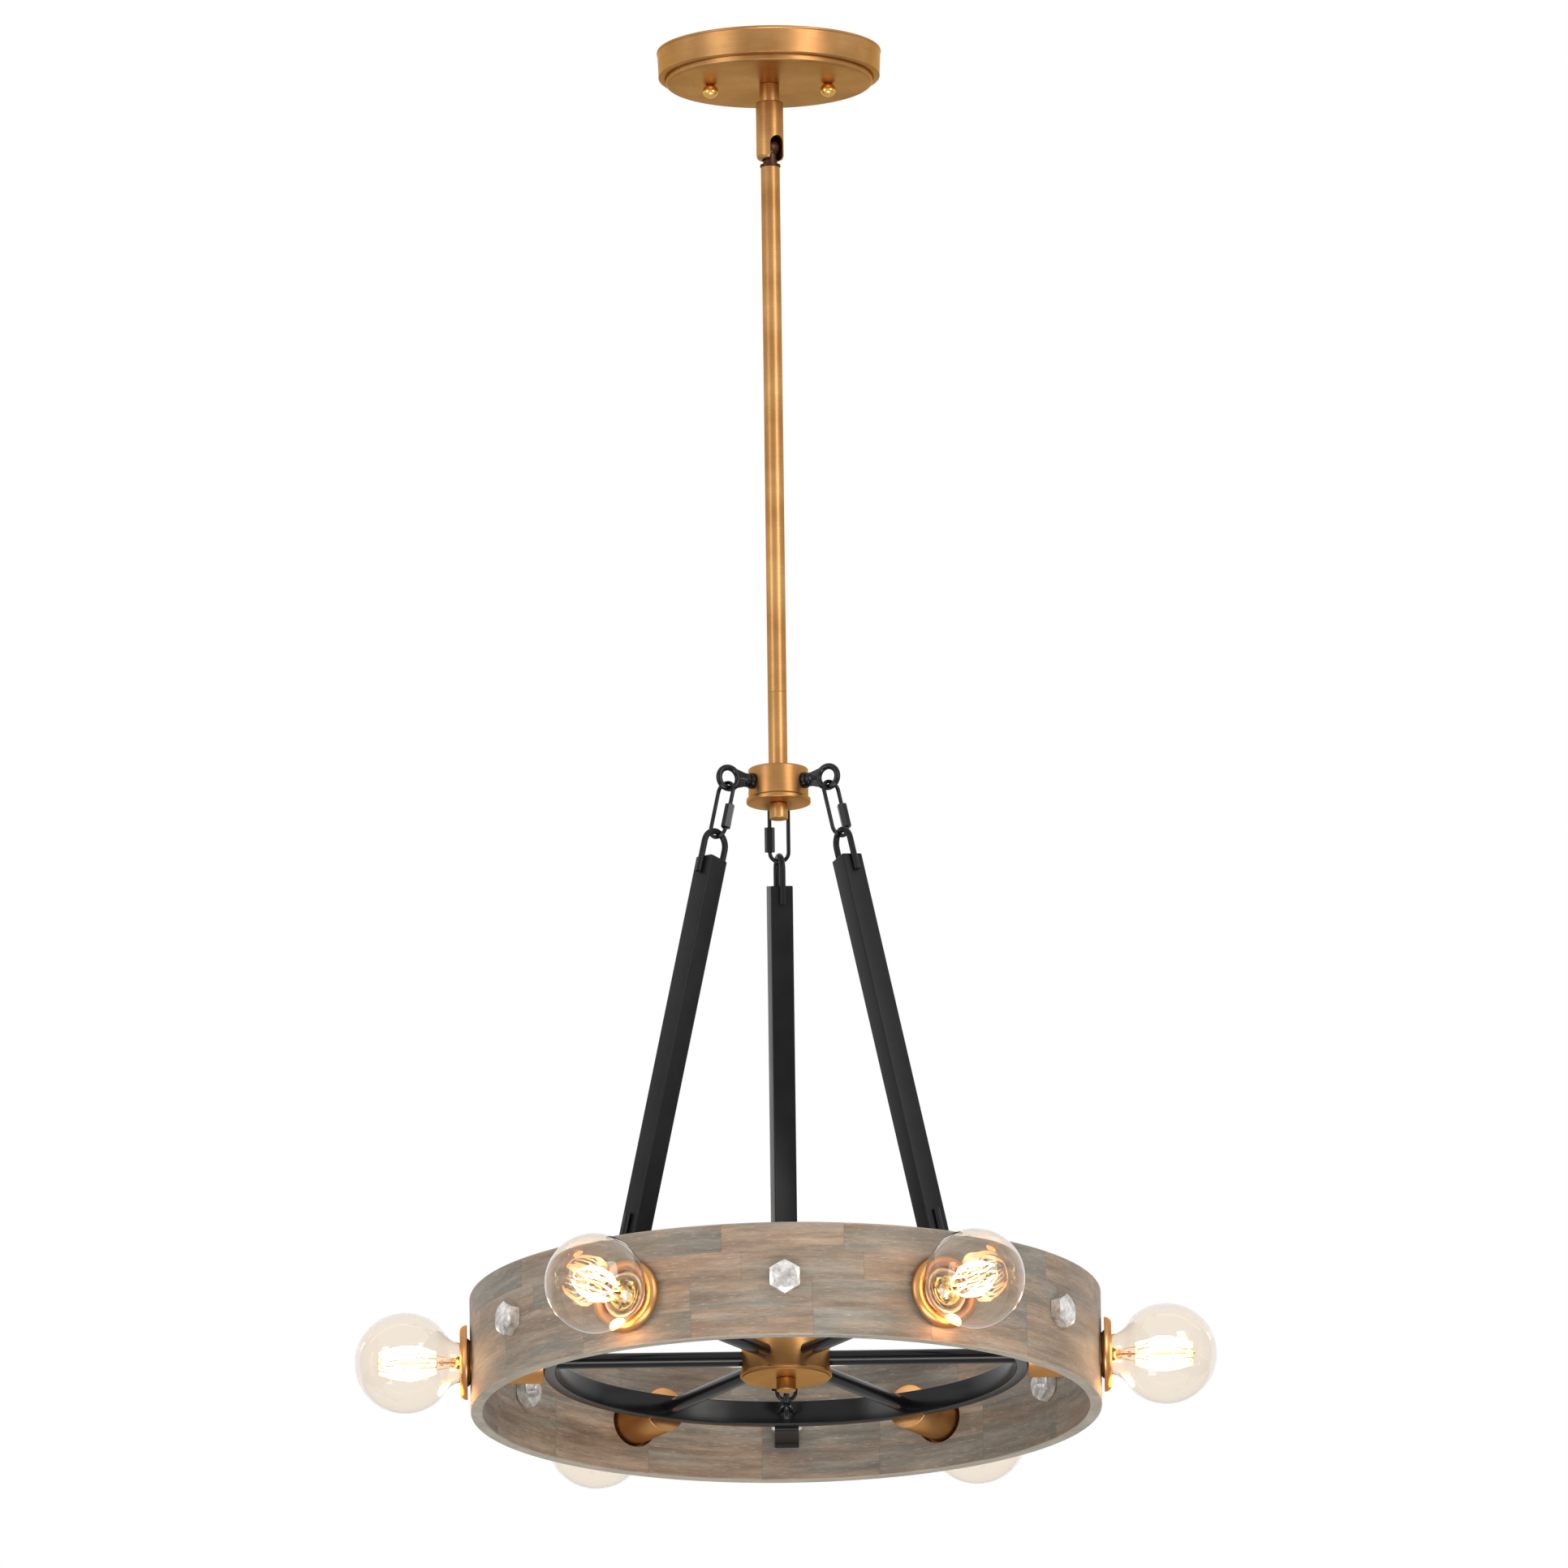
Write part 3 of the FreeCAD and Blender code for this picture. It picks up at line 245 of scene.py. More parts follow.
def pewter():
    """Cast bolt heads, mottled light and dark grey."""
    shader = new_shader("aged_pewter")
    mottle = shader.noise(shader.place(), 170.0, 6.0, 0.62)
    patch = shader.noise(shader.place(), 60.0, 3.0, 0.5)
    tone = shader.ramp(mottle * 0.6 + patch * 0.4, (0.30, (0.20, 0.18, 0.17)), (0.45, (0.47, 0.45, 0.43)),
                       (0.60, (0.80, 0.78, 0.76)))
    return shader.surface(Base_Color=tone, Metallic=0.75, Roughness=mottle * 0.3 + 0.22,
                          Normal=shader.bump(mottle, 0.22, 0.0008))


def zinc():
    """Zinc plate for the hidden hardware, faintly spangled."""
    shader = new_shader("zinc_plate")
    spangle = shader.noise(shader.place(), 220.0, 3.0, 0.6)
    tone = shader.ramp(spangle, (0.3, (0.42, 0.42, 0.41)), (0.7, (0.66, 0.66, 0.64)))
    return shader.surface(Base_Color=tone, Metallic=1.0, Roughness=spangle * 0.2 + 0.25)


def wood_blocks(shader, round_way, z, length, rows_high):
    """Rows of short staves: a number of its own for each, its row's place, and how near its edges are."""
    rows = (z - (BAND_LEVEL - BAND_HALF) * MM) / (2 * BAND_HALF * MM / rows_high)
    row = rows.maths("FLOOR")
    jitter = shader.node("TexWhiteNoise", {"noise_dimensions": "1D"}, {"W": row + 3.5}, "Value")
    staves = round_way / length + jitter * 9.0
    stave = staves.maths("FLOOR")
    place = shader.join(stave, row, 1.7)
    pick = shader.node("TexWhiteNoise", {"noise_dimensions": "3D"}, {"Vector": place}, "Value")
    side, edge = (staves - stave - 0.5).maths("ABSOLUTE"), (rows - row - 0.5).maths("ABSOLUTE")
    return pick, side, edge


def weathered_wood():
    """A band of glued staves, washed grey, with tan patches, warm streaks and small flecks."""
    shader = new_shader("weathered_wood")
    x, y, z = shader.split()
    turn = shader.node("Math", {"operation": "ARCTAN2"}, {0: y, 1: x})
    radius = (x * x + y * y) ** 0.5
    round_way = turn * (BAND_R * MM)
    pick, side, edge = wood_blocks(shader, round_way, z, STAVE_LONG * MM, STAVE_ROWS)
    grain = shader.noise(shader.join(round_way * 9.0 + pick * 5.0, z * 85.0, radius * 60.0), 1.5, 8.0, 0.62)
    fine = shader.noise(shader.join(round_way * 130.0, z * 900.0, radius * 300.0), 1.0, 4.0, 0.62)
    wash = shader.noise(shader.join(round_way * 7.0 + pick * 1.5, z * 36.0, radius * 12.0), 1.6, 7.0, 0.66)
    glow = shader.noise(shader.join(round_way * 16.0 + 7.0, z * 75.0, radius * 12.0), 1.3, 6.0, 0.66)
    grey = shader.ramp(grain, (0.30, (0.120, 0.106, 0.086)), (0.5, (0.190, 0.174, 0.145)),
                       (0.70, (0.285, 0.262, 0.220)))
    tan = shader.ramp(grain, (0.30, (0.165, 0.100, 0.062)), (0.5, (0.270, 0.175, 0.112)),
                      (0.70, (0.410, 0.285, 0.195)))
    warm = shader.grey_ramp(wash * 0.80 + pick * 0.20, (0.40, 0.0), (0.60, 1.0))
    tone = shader.mix(warm * 0.75, grey, tan)
    tone = shader.mix(shader.grey_ramp(glow, (0.58, 0.0), (0.74, 0.40)), tone, colour(0.55, 0.38, 0.25))
    joint = shader.grey_ramp(side, (0.490, 0.0), (0.498, 1.0))
    seam = shader.grey_ramp(edge, (0.482, 0.0), (0.496, 1.0))
    tone = shader.mix(joint * 0.20, tone, colour(0.080, 0.064, 0.050))
    tone = shader.mix(seam * 0.10, tone, colour(0.085, 0.070, 0.055))
    tone = shader.mix(1.0, tone, shader.grey_ramp(pick, (0.0, 0.92), (1.0, 1.06)), "MULTIPLY")
    tone = shader.mix(shader.grey_ramp(fine, (0.56, 0.0), (0.74, 0.50)), tone, colour(0.080, 0.058, 0.042))
    tone = shader.mix(shader.grey_ramp(fine, (0.26, 0.42), (0.42, 0.0)), tone, colour(0.66, 0.55, 0.45))
    # Paler grey-green on the top and bottom faces and within 1.5 mm of them, in patches that follow the wash
    # noise.
    rim = ((z - BAND_LEVEL * MM).maths("ABSOLUTE") - (BAND_HALF - 1.5) * MM) * 900.0
    pale_rim_patches = shader.node("Clamp", None, {"Value": rim}) * shader.grey_ramp(wash, (0.35, 0.3), (0.65, 1.0))
    tone = shader.mix(pale_rim_patches * 0.6, tone, colour(0.46, 0.44, 0.36))
    return shader.surface(Base_Color=tone, Roughness=grain * 0.22 + 0.44, Metallic=0.0,
                          Normal=shader.bump(fine * 0.5 + grain * 0.5 - joint * 0.4, 0.16, 0.0010))


def clear_glass():
    """Thin clear glass with a warm tint."""
    shader = new_shader("bulb_clear_glass")
    return shader.surface(Base_Color=colour(0.950, 0.895, 0.820), Roughness=0.0, IOR=1.46,
                          Transmission_Weight=1.0)


def filament_glow():
    """Wire that is white-hot in the middle of its cage and orange towards its hooks."""
    shader = new_shader("filament_glow")
    x, y, _ = shader.split()
    middle = (CAGE_NEAR + CAGE_FAR) / 2 * MM
    away = ((x * x + y * y) ** 0.5 - middle).maths("ABSOLUTE") / ((CAGE_FAR - CAGE_NEAR) / 2 * MM)
    tint = shader.ramp(away, (0.35, (1.0, 0.84, 0.60)), (0.75, (1.0, 0.58, 0.22)), (1.05, (0.85, 0.33, 0.08)))
    return shader.surface(Base_Color=tint, Emission_Color=tint, Emission_Strength=16.0, Roughness=0.5)


def white_ceramic():
    """The lampholders' smooth white."""
    shader = new_shader("white_holder_plastic")
    cloud = shader.noise(shader.place(), 90.0, 3.0, 0.5)
    tone = shader.ramp(cloud, (0.3, (0.80, 0.77, 0.72)), (0.7, (0.88, 0.86, 0.82)))
    return shader.surface(Base_Color=tone, Roughness=cloud * 0.1 + 0.3)


def gilt(name, dark, light, burnt=0.0):
    """Bright yellow metal, with burnt marks where asked."""
    shader = new_shader(name)
    cloud = shader.noise(shader.place(), 150.0, 3.0, 0.6)
    tone = shader.ramp(cloud, (0.3, dark), (0.7, light))
    marks = shader.noise(shader.place(), 190.0, 2.0, 0.4)
    tone = shader.mix(shader.grey_ramp(marks, (0.56, 0.0), (0.60, burnt)), tone, colour(0.10, 0.06, 0.03))
    return shader.surface(Base_Color=tone, Metallic=1.0, Roughness=cloud * 0.1 + 0.16)


BRASS = aged_brass("aged_brass", (0.55, 0.305, 0.120), (0.35, 0.170, 0.058), 0.36)
CUP_BRASS = aged_brass("cup_brass", (0.68, 0.37, 0.150), (0.47, 0.215, 0.075), 0.33, (20, 3600, 1))
KNOB_BRASS = aged_brass("knob_brass", (0.88, 0.54, 0.18), (0.72, 0.39, 0.11), 0.24, (30, 300, 1))
DARK_BRONZE = aged_brass("dark_bronze", (0.095, 0.045, 0.030), (0.040, 0.020, 0.016), 0.34)
SATIN_BLACK = black_paint("satin_black_iron", (0.0065, 0.0065, 0.0075), 0.36, 0.20)
GLOSS_BLACK = black_paint("gloss_black_iron", (0.003, 0.003, 0.0035), 0.14, 0.30, 0.008, 300.0)
SPOKE_BLACK = black_paint("spoke_black_iron", (0.004, 0.004, 0.005), 0.20, 0.28, 0.02)
PEWTER = pewter()
ZINC = zinc()
WOOD = weathered_wood()
GLASS = clear_glass()
WHITE = white_ceramic()
SHELL = gilt("gilt_screw_shell", (0.62, 0.44, 0.16), (0.86, 0.68, 0.32))
DISH = gilt("gilt_mount_dish", (0.80, 0.56, 0.16), (0.98, 0.80, 0.36), 0.85)
FILAMENT = filament_glow()
SUPPORT = aged_brass("support_wire", (0.50, 0.34, 0.20), (0.36, 0.22, 0.12), 0.3)

# ------------------------------------------------------------------ mesh code


def add_object(name, data):
    """An object of some data, linked to the scene."""
    made = bpy.data.objects.new(name, data)
    bpy.context.scene.collection.objects.link(made)
    return made


def put(name, bm, material, body, replaced=(), sharp=32):
    """Adds a finished mesh as a piece on a body."""
    bmesh.ops.recalc_face_normals(bm, faces=bm.faces)
    mesh = bpy.data.meshes.new(name)
    bm.to_mesh(mesh)
    bm.free()
    mesh.shade_smooth()
    mesh.set_sharp_from_angle(angle=math.radians(sharp))
    mesh.materials.append(material)
    piece = add_object(name, mesh)
    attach(piece, body)
    for node in replaced:
        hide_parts(node)
    return piece


def merge(bm, own):
    """Moves one mesh's faces into another."""
    scratch = bpy.data.meshes.new("merge")
    own.to_mesh(scratch)
    own.free()
    bm.from_mesh(scratch)
    bpy.data.meshes.remove(scratch)


def add_to(bm, place, build, *arguments):
    """Builds a piece at the origin and adds it at a place."""
    own = bmesh.new()
    build(own, *arguments)
    own.transform(place)
    merge(bm, own)


def carve(bm, tool, operation):
    """Boolean of two closed meshes; both are used up."""
    scratch = []
    for index, source in enumerate((bm, tool)):
        bmesh.ops.recalc_face_normals(source, faces=source.faces)
        mesh = bpy.data.meshes.new(f"carve_{index}")
        source.to_mesh(mesh)
        source.free()
        scratch.append(add_object(f"carve_{index}", mesh))
    cut = scratch[0].modifiers.new("cut", "BOOLEAN")
    cut.operation, cut.object, cut.solver = operation, scratch[1], "EXACT"
    depsgraph = bpy.context.evaluated_depsgraph_get()
    carved = bpy.data.meshes.new_from_object(scratch[0].evaluated_get(depsgraph))
    result = bmesh.new()
    result.from_mesh(carved)
    bpy.data.meshes.remove(carved)
    for holder in scratch:
        mesh = holder.data
        bpy.data.objects.remove(holder)
        bpy.data.meshes.remove(mesh)
    return result


def eased(outline, radius, steps=4):
    """The outline with its corners rounded by up to a radius, in the outline's own units."""
    result, count = [], len(outline)
    for i, (a, b) in enumerate(outline):
        here = Vector((a, b))
        before = Vector(outline[i - 1]) - here
        after = Vector(outline[(i + 1) % count]) - here
        if not before.length or not after.length:
            result.append((a, b))
            continue
        straight = math.pi - before.angle(after)
        cut = min(radius * math.tan(straight / 2), before.length * 0.45, after.length * 0.45)
        if straight < math.radians(8) or cut < 1e-5:
            result.append((a, b))
            continue
        start, end = here + before.normalized() * cut, here + after.normalized() * cut
        for k in range(steps + 1):
            t = k / steps
            point = start * (1 - t) ** 2 + here * (2 * t * (1 - t)) + end * t ** 2
            result.append((point.x, point.y))
    return result


def lathe(bm, outline, place=Matrix(), segments=72):
    """Turns a closed outline of (radius, height) millimetres about the Z axis of a place."""
    layer = bm.loops.layers.uv.get("grain") or bm.loops.layers.uv.new("grain")
    rings = []
    for radius, height in outline:
        if radius < 1e-6:
            rings.append([bm.verts.new(place @ Vector((0, 0, height * MM)))] * segments)
            continue
        angles = [TAU * k / segments for k in range(segments)]
        ring = [Vector((radius * math.cos(a), radius * math.sin(a), height)) * MM for a in angles]
        rings.append([bm.verts.new(place @ point) for point in ring])
    run, count = 0.0, len(rings)
    for i in range(count):
        j = (i + 1) % count
        step = math.dist(outline[i], outline[j]) * MM
        radius = max(outline[i][0], outline[j][0]) * MM
        if outline[i][0] < 1e-6 and outline[j][0] < 1e-6:
            continue
        for k in range(segments):
            m = (k + 1) % segments
            corners = [(rings[i][k], k, run), (rings[i][m], k + 1, run), (rings[j][m], k + 1, run + step),
                       (rings[j][k], k, run + step)]
            corners = list({corner[0]: corner for corner in corners}.values())
            face = bm.faces.new([corner[0] for corner in corners])
            for loop, (_, around, along) in zip(face.loops, corners):
                loop[layer].uv = (TAU * radius * around / segments, along)
        run += step
    return bm


def turned(name, outline, material, body, replaced=(), place=Matrix(), segments=96,
           ease=0.6, sharp=32):
    """A turned piece on a body, its outline's corners eased."""
    bm = lathe(bmesh.new(), eased(outline, ease) if ease else outline, place, segments)
    return put(name, bm, material, body, replaced, sharp)


def rod(bm, radius, start, end, segments=32, ease=0.5):
    """A solid round rod between two heights."""
    return lathe(bm, eased([(0, start), (radius, start), (radius, end), (0, end)], ease), Matrix(), segments)


def sweep(bm, points, radius, closed=False, sides=16):
    """A round wire along points, all in millimetres; its radius is one number or one for each point."""
    count = len(points)
    radii = radius if isinstance(radius, list) else [radius] * count
    layer = bm.loops.layers.uv.get("grain") or bm.loops.layers.uv.new("grain")
    runs = []
    for i in range(count):
        before = points[i] - points[i - 1] if closed or i else points[1] - points[0]
        after = points[(i + 1) % count] - points[i] if closed or i < count - 1 else before
        runs.append((before.normalized() + after.normalized()).normalized())
    normal = runs[0].orthogonal().normalized()
    rings, lengths, total = [], [], 0.0
    for i, at in enumerate(points):
        if i:
            total += (at - points[i - 1]).length
            normal = runs[i - 1].rotation_difference(runs[i]) @ normal
        lengths.append(total)
        other = runs[i].cross(normal)
        angles = [TAU * k / sides for k in range(sides)]
        rings.append([bm.verts.new((at + (normal * math.cos(a) + other * math.sin(a)) * radii[i]) * MM)
                      for a in angles])
    twist = 0
    if closed:
        last = runs[-1].rotation_difference(runs[0]) @ normal
        first = (rings[0][0].co - points[0] * MM).normalized()
        twist = round(math.atan2(last.cross(first).dot(runs[0]), last.dot(first)) / TAU * sides)
    pairs = [(i, i + 1, 0) for i in range(count - 1)] + ([(count - 1, 0, twist)] if closed else [])
    for i, j, shift in pairs:
        for k in range(sides):
            m = (k + 1) % sides
            far_k, far_m = (k - shift) % sides, (m - shift) % sides
            face = bm.faces.new([rings[i][k], rings[i][m], rings[j][far_m], rings[j][far_k]])
            for loop, (u, v) in zip(face.loops, ((k, i), (k + 1, i), (k + 1, j), (k, j))):
                loop[layer].uv = (TAU * radii[i] * MM * u / sides, lengths[v] * MM)
    if not closed:
        bm.faces.new(rings[0][::-1])
        bm.faces.new(rings[-1])
    return bm


def arc(centre, radius, across, up, first, last, steps=14):
    """Points of an arc, first and last included."""
    angles = [math.radians(first + (last - first) * k / steps) for k in range(steps + 1)]
    return [centre + across * (radius * math.cos(a)) + up * (radius * math.sin(a)) for a in angles]


def prism(bm, outline, length, place=Matrix(), corner=0.0):
    """An outline of (x, y) millimetres raised along Z of a place, its rims eased by a chamfer."""
    centre = Vector((sum(p[0] for p in outline), sum(p[1] for p in outline))) / len(outline)

    def ring(height, shrink):
        flats = [centre + (Vector(p) - centre) * (1 - shrink / (Vector(p) - centre).length) for p in outline]
        return [bm.verts.new(place @ (Vector((flat.x, flat.y, height)) * MM)) for flat in flats]

    levels = [(0, 0), (length, 0)]
    if corner:
        levels = [(0, corner), (corner, 0), (length - corner, 0), (length, corner)]
    rings = [ring(*level) for level in levels]
    for a, b in zip(rings, rings[1:]):
        for k in range(len(outline)):
            m = (k + 1) % len(outline)
            bm.faces.new([a[k], a[m], b[m], b[k]])
    bm.faces.new(rings[0][::-1])
    bm.faces.new(rings[-1])
    return bm


def hexagon(flats, turn=0.0):
    """Corners of a hexagon of a size across its flats."""
    corner = flats / 2 / math.cos(math.pi / 6)
    return [(corner * math.cos(TAU * k / 6 + turn), corner * math.sin(TAU * k / 6 + turn)) for k in range(6)]


def hex_block(flats, tall, crown, both=False):
    """A hexagon whose corners are turned down to a round crown at its top, or at both ends."""
    blank = flats / 2 / math.cos(math.pi / 6) + 2
    drop = (blank - flats / 2 * crown) * math.tan(math.radians(27))
    top = [(blank, tall - drop), (flats / 2 * crown, tall), (0, tall)]
    foot = [(0, 0), (flats / 2 * crown, 0), (blank, drop)] if both else [(0, -1), (blank, -1)]
    crowned = lathe(bmesh.new(), foot + top, Matrix(), 96)
    return carve(prism(bmesh.new(), hexagon(flats), tall), crowned, "INTERSECT")


def outward(azimuth, out, height):
    """A place whose Z axis points outward at an azimuth, at a distance out and a height, in millimetres."""
    a = math.radians(azimuth)
    at = Vector((out * math.cos(a), out * math.sin(a), height)) * MM
    return Matrix.Translation(at) @ Matrix.Rotation(a, 4, "Z") @ Matrix.Rotation(math.pi / 2, 4, "Y")


def upright(height, x=0.0):
    """A place at a height, and aside along X, in millimetres."""
    return Matrix.Translation(Vector((x, 0, height)) * MM)


# ------------------------------------------------------------------ ceiling group and stem

def dress_ceiling_group():
    """The canopy with its rolled rim and stepped foot, the collar under it, and what they hide."""
    top, bottom = high("canopy").z, low("canopy").z
    rim = high("canopy").x
    foot, step, wall = rim - 6.5, bottom + 5.0, 1.5
    turned("canopy_shell", [
        (rim, top), (rim, top - 1.6), (rim - 0.5, top - 2.2), (rim - 1.2, step + 3.0),
        (rim - 1.0, step + 0.9), (rim - 3.4, step), (foot + 0.6, step), (foot - 0.4, step + 0.9),
        (foot - 0.4, bottom + 1.2), (foot - 2.0, bottom), (CANOPY_HOLE_R, bottom),
        (CANOPY_HOLE_R, bottom + wall), (foot - 3.0, bottom + wall), (foot - 3.0, step + wall),
        (rim - 3.2, step + wall), (rim - wall, top)],
        BRASS, "ceiling_group", ["canopy"], segments=160, ease=0.9)
    collar, end = high("swivel_collar"), low("swivel_collar")
    turned("swivel_collar_tube", [(collar.x, end.z), (collar.x, collar.z), (COLLAR_BORE_R, collar.z),
                                  (COLLAR_BORE_R, end.z)],
           BRASS, "ceiling_group", ["swivel_collar"], ease=0.5)
    dress_knobs(bottom)
    for node in ("crossbar", "canopy_studs", "nipple", "nipple_locknuts"):
        finish_node(node, ZINC)


def dress_knobs(bottom):
    """Two ball knobs under the canopy, each with a short neck."""
    reach = high("canopy_knobs").x - KNOB_R
    angles = [math.radians(a) for a in range(-80, 56, 8)]
    ball = [(KNOB_R * math.cos(a), KNOB_RISE * math.sin(a) - KNOB_DROP) for a in angles]
    for number, x in enumerate((reach, -reach), 1):
        outline = [(0, -KNOB_TIP)] + ball + [(KNOB_NECK_R, 0), (0, 0)]
        turned(f"canopy_knob_{number}", outline, KNOB_BRASS, "ceiling_group",
               ["canopy_knobs"] if number == 1 else (), upright(bottom, x), 48, 0)


def finish_node(node, material):
    """Gives a carried-over node its finish."""
    slots = NODES[node].data.materials
    slots.clear()
    slots.append(material)


def dress_swivel():
    """The ball's housing, open at one side up to the slot's round top."""
    bottom, tall, room = low("swivel_body").z, high("swivel_body").z - low("swivel_body").z, 8.3
    wall, mouth, seat, neck, roof = 10.8, 6.5, 4.84, 4.9, 19.0
    shell = [(mouth, 0), (wall - 3.2, 0), (wall - 1.0, 1.0), (wall, 3.2), (wall, tall), (neck, tall),
             (neck, roof), (room, roof), (room, seat), (mouth, seat)]
    housing = lathe(bmesh.new(), eased(shell, 1.0), upright(bottom), 96)
    half = NECK_R + 0.3
    crown = arc(Vector((half - SLOT_TOP, 0)), half, Vector((1, 0)), Vector((0, 1)), 90, 270)
    slot = [(1.0, half)] + [tuple(point) for point in crown] + [(1.0, -half)]
    housing = carve(housing, prism(bmesh.new(), slot, 20.0, outward(SLOT_AZIMUTH, 0, bottom)), "DIFFERENCE")
    put("swivel_housing", housing, BRASS, "swivel", ["swivel_body"])


def dress_stem():
    """Housing, ball stem, the two rods and the upper hub with its cover and end knob."""
    dress_swivel()
    ring, ball_at, ball = high("rod_upper").z, low("swivel_body").z + 10.0, 8.0
    ring_r, ring_tall, tube_r, tube_end = 8.1, 2.0, 5.0, low("stem_tube").z
    angles = [math.radians(a) for a in range(9, 136, 9)]
    swell = [(ball * math.sin(a), ball_at + ball * math.cos(a)) for a in angles]
    tube = [(0, ball_at + ball)] + swell + [
        (NECK_R, ring + ring_tall), (ring_r, ring + ring_tall), (ring_r, ring), (tube_r, ring),
        (tube_r, tube_end), (0, tube_end)]
    turned("stem_tube_ball", tube, DARK_BRONZE, "stem", ["stem_tube"], ease=0.3, segments=64)
    for node in ("rod_upper", "rod_lower"):
        end, start = high(node), low(node)
        turned(node + "_tube", [(end.x, start.z), (end.x, end.z), (ROD_BORE_R, end.z), (ROD_BORE_R, start.z)],
               BRASS, "stem", [node], ease=0.35)
    hub, base = high("upper_hub"), low("upper_hub")
    inside, roof = 20.75, hub.z - 3
    turned("upper_hub_cup", [(inside, base.z), (hub.x, base.z), (hub.x, hub.z), (ROD_BORE_R, hub.z),
                             (ROD_BORE_R, roof), (inside, roof)],
           BRASS, "stem", ["upper_hub"], ease=1.3)
    cover, under = high("upper_hub_cover"), low("upper_hub_cover")
    turned("upper_hub_plate", [(ROD_BORE_R, under.z), (cover.x, under.z), (cover.x, cover.z),
                               (ROD_BORE_R, cover.z)],
           BRASS, "stem", ["upper_hub_cover"], ease=1.0)
    dress_finial("upper_finial", ROD_BORE_R, "stem")
    finish_node("upper_eye_nuts", SATIN_BLACK)


def dress_finial(node, bore, body):
    """An end knob, hollow from above."""
    tip, end = high(node), low(node)
    outline = [(0, end.z), (tip.x, end.z), (tip.x, tip.z), (bore, tip.z), (bore, end.z + FINIAL_DEPTH),
               (0, end.z + FINIAL_DEPTH)]
    turned(node + "_cap", outline, BRASS, body, [node], ease=0.9)


# ------------------------------------------------------------------ eye bolts and hangers

def eye_bolt(bm, reach, shank_end):
    """A forged eye bolt along +X: eye at the origin, flared to a bead and a collar that seats at reach."""
    middle, half = (EYE_ACROSS - EYE_WIRE) / 2, EYE_WIRE / 2 * 0.9
    x, z = Vector((1, 0, 0)), Vector((0, 0, 1))
    sweep(bm, arc(Vector(), middle, x, z, 0, 360, 48)[:-1], EYE_WIRE / 2, closed=True)
    collar_at, bead, collar = reach - 3.0, EYE_BEAD / 2, EYE_COLLAR / 2
    neck = [(0, middle), (2.6, middle), (3.4, (middle + collar_at) / 2), (bead - 0.8, collar_at - 4.2),
            (bead, collar_at - 3.2), (bead, collar_at - 0.7), (bead - 0.9, collar_at),
            (collar - 0.6, collar_at), (collar, collar_at + 0.9), (collar, reach - 0.5),
            (collar - 0.5, reach), (EYE_SHANK / 2, reach), (EYE_SHANK / 2, shank_end), (0, shank_end)]
    lathe(bm, eased(neck, 0.8, 3), Matrix.Rotation(math.pi / 2, 4, "Y"), 40)
    spread = (1.25, 0.9, 0.45, 0, -0.45, -0.9, -1.25)
    crest = [(EYE_CREST_R * math.cos(a), EYE_CREST_R * math.sin(a)) for a in spread]
    web = [(collar_at - 2.4, bead * 0.9), *crest, (collar_at - 2.4, -bead * 0.9)]
    across = Matrix.Rotation(math.pi / 2, 4, "X") @ upright(-half)
    prism(bm, web, 2 * half, across, 0.8)


def dress_eye_bolts():
    rows = (("upper_eye_bolts", "stem", UPPER_EYE_R, EYE_LEVEL, math.pi, UPPER_REACH, UPPER_SHANK_END),
            ("lower_eye_bolts", "wheel", LOWER_EYE_R, SPOKE_LEVEL, 0.0, LOWER_REACH, LOWER_SHANK_END))
    for node, body, out, height, flip, reach, shank_end in rows:
        bm = bmesh.new()
        for azimuth in UPRIGHTS.values():
            a = math.radians(azimuth)
            at = Vector((out * math.cos(a), out * math.sin(a), height)) * MM
            place = Matrix.Translation(at) @ Matrix.Rotation(a + flip, 4, "Z")
            add_to(bm, place, eye_bolt, reach, shank_end)
        put(node + "_forged", bm, GLOSS_BLACK, body, [node], 40)


def link_path():
    """An oval link's wire, from one side of its opening round to the other."""
    half_w, straight = (LINK_WIDE - LINK_WIRE) / 2, (LINK_LONG - LINK_WIDE) / 2
    y, z = Vector((0, 1, 0)), Vector((0, 0, 1))
    foot = -straight + LINK_FOOT
    points = [y * half_w + z * (foot + LINK_OPENING)]
    points += arc(z * straight, half_w, y, z, 0, 180)
    points += arc(z * -straight, half_w, y, z, 180, 360)
    return points + [y * half_w + z * foot]


def loop_path(ends_at, top_at, half_w):
    """A U-shaped loop's wire, both ends at one height and the round at another."""
    way = 1 if top_at > ends_at else -1
    x, z = Vector((1, 0, 0)), Vector((0, 0, way))
    centre = Vector((0, 0, top_at - way * half_w))
    first, last = Vector((half_w, 0, ends_at)), Vector((-half_w, 0, ends_at))
    return [first] + arc(centre, half_w, x, z, 0, 180) + [last]


def square_bar(bm, low_at, top_at):
    """A square tube, closed at the top, with eased edges."""
    def section(half, radius):
        return eased([(half, -half), (half, half), (-half, half), (-half, -half)], radius, 4)

    outside, inside = section(BAR_WIDE / 2, BAR_CORNER), section(BAR_WIDE / 2 - BAR_WALL, BAR_CORNER * 0.6)
    levels = [(inside, top_at - 3.0, 1.0), (inside, low_at, 1.0), (outside, low_at, 0.985),
              (outside, low_at + 0.25, 1.0), (outside, top_at - 0.5, 1.0), (outside, top_at, 0.95)]
    rings = [[bm.verts.new(Vector((px * share, py * share, height)) * MM) for px, py in outline]
             for outline, height, share in levels]
    for a, b in zip(rings, rings[1:]):
        for k in range(len(outside)):
            m = (k + 1) % len(outside)
            bm.faces.new([a[k], a[m], b[m], b[k]])
    bm.faces.new(rings[0])
    bm.faces.new(rings[-1])


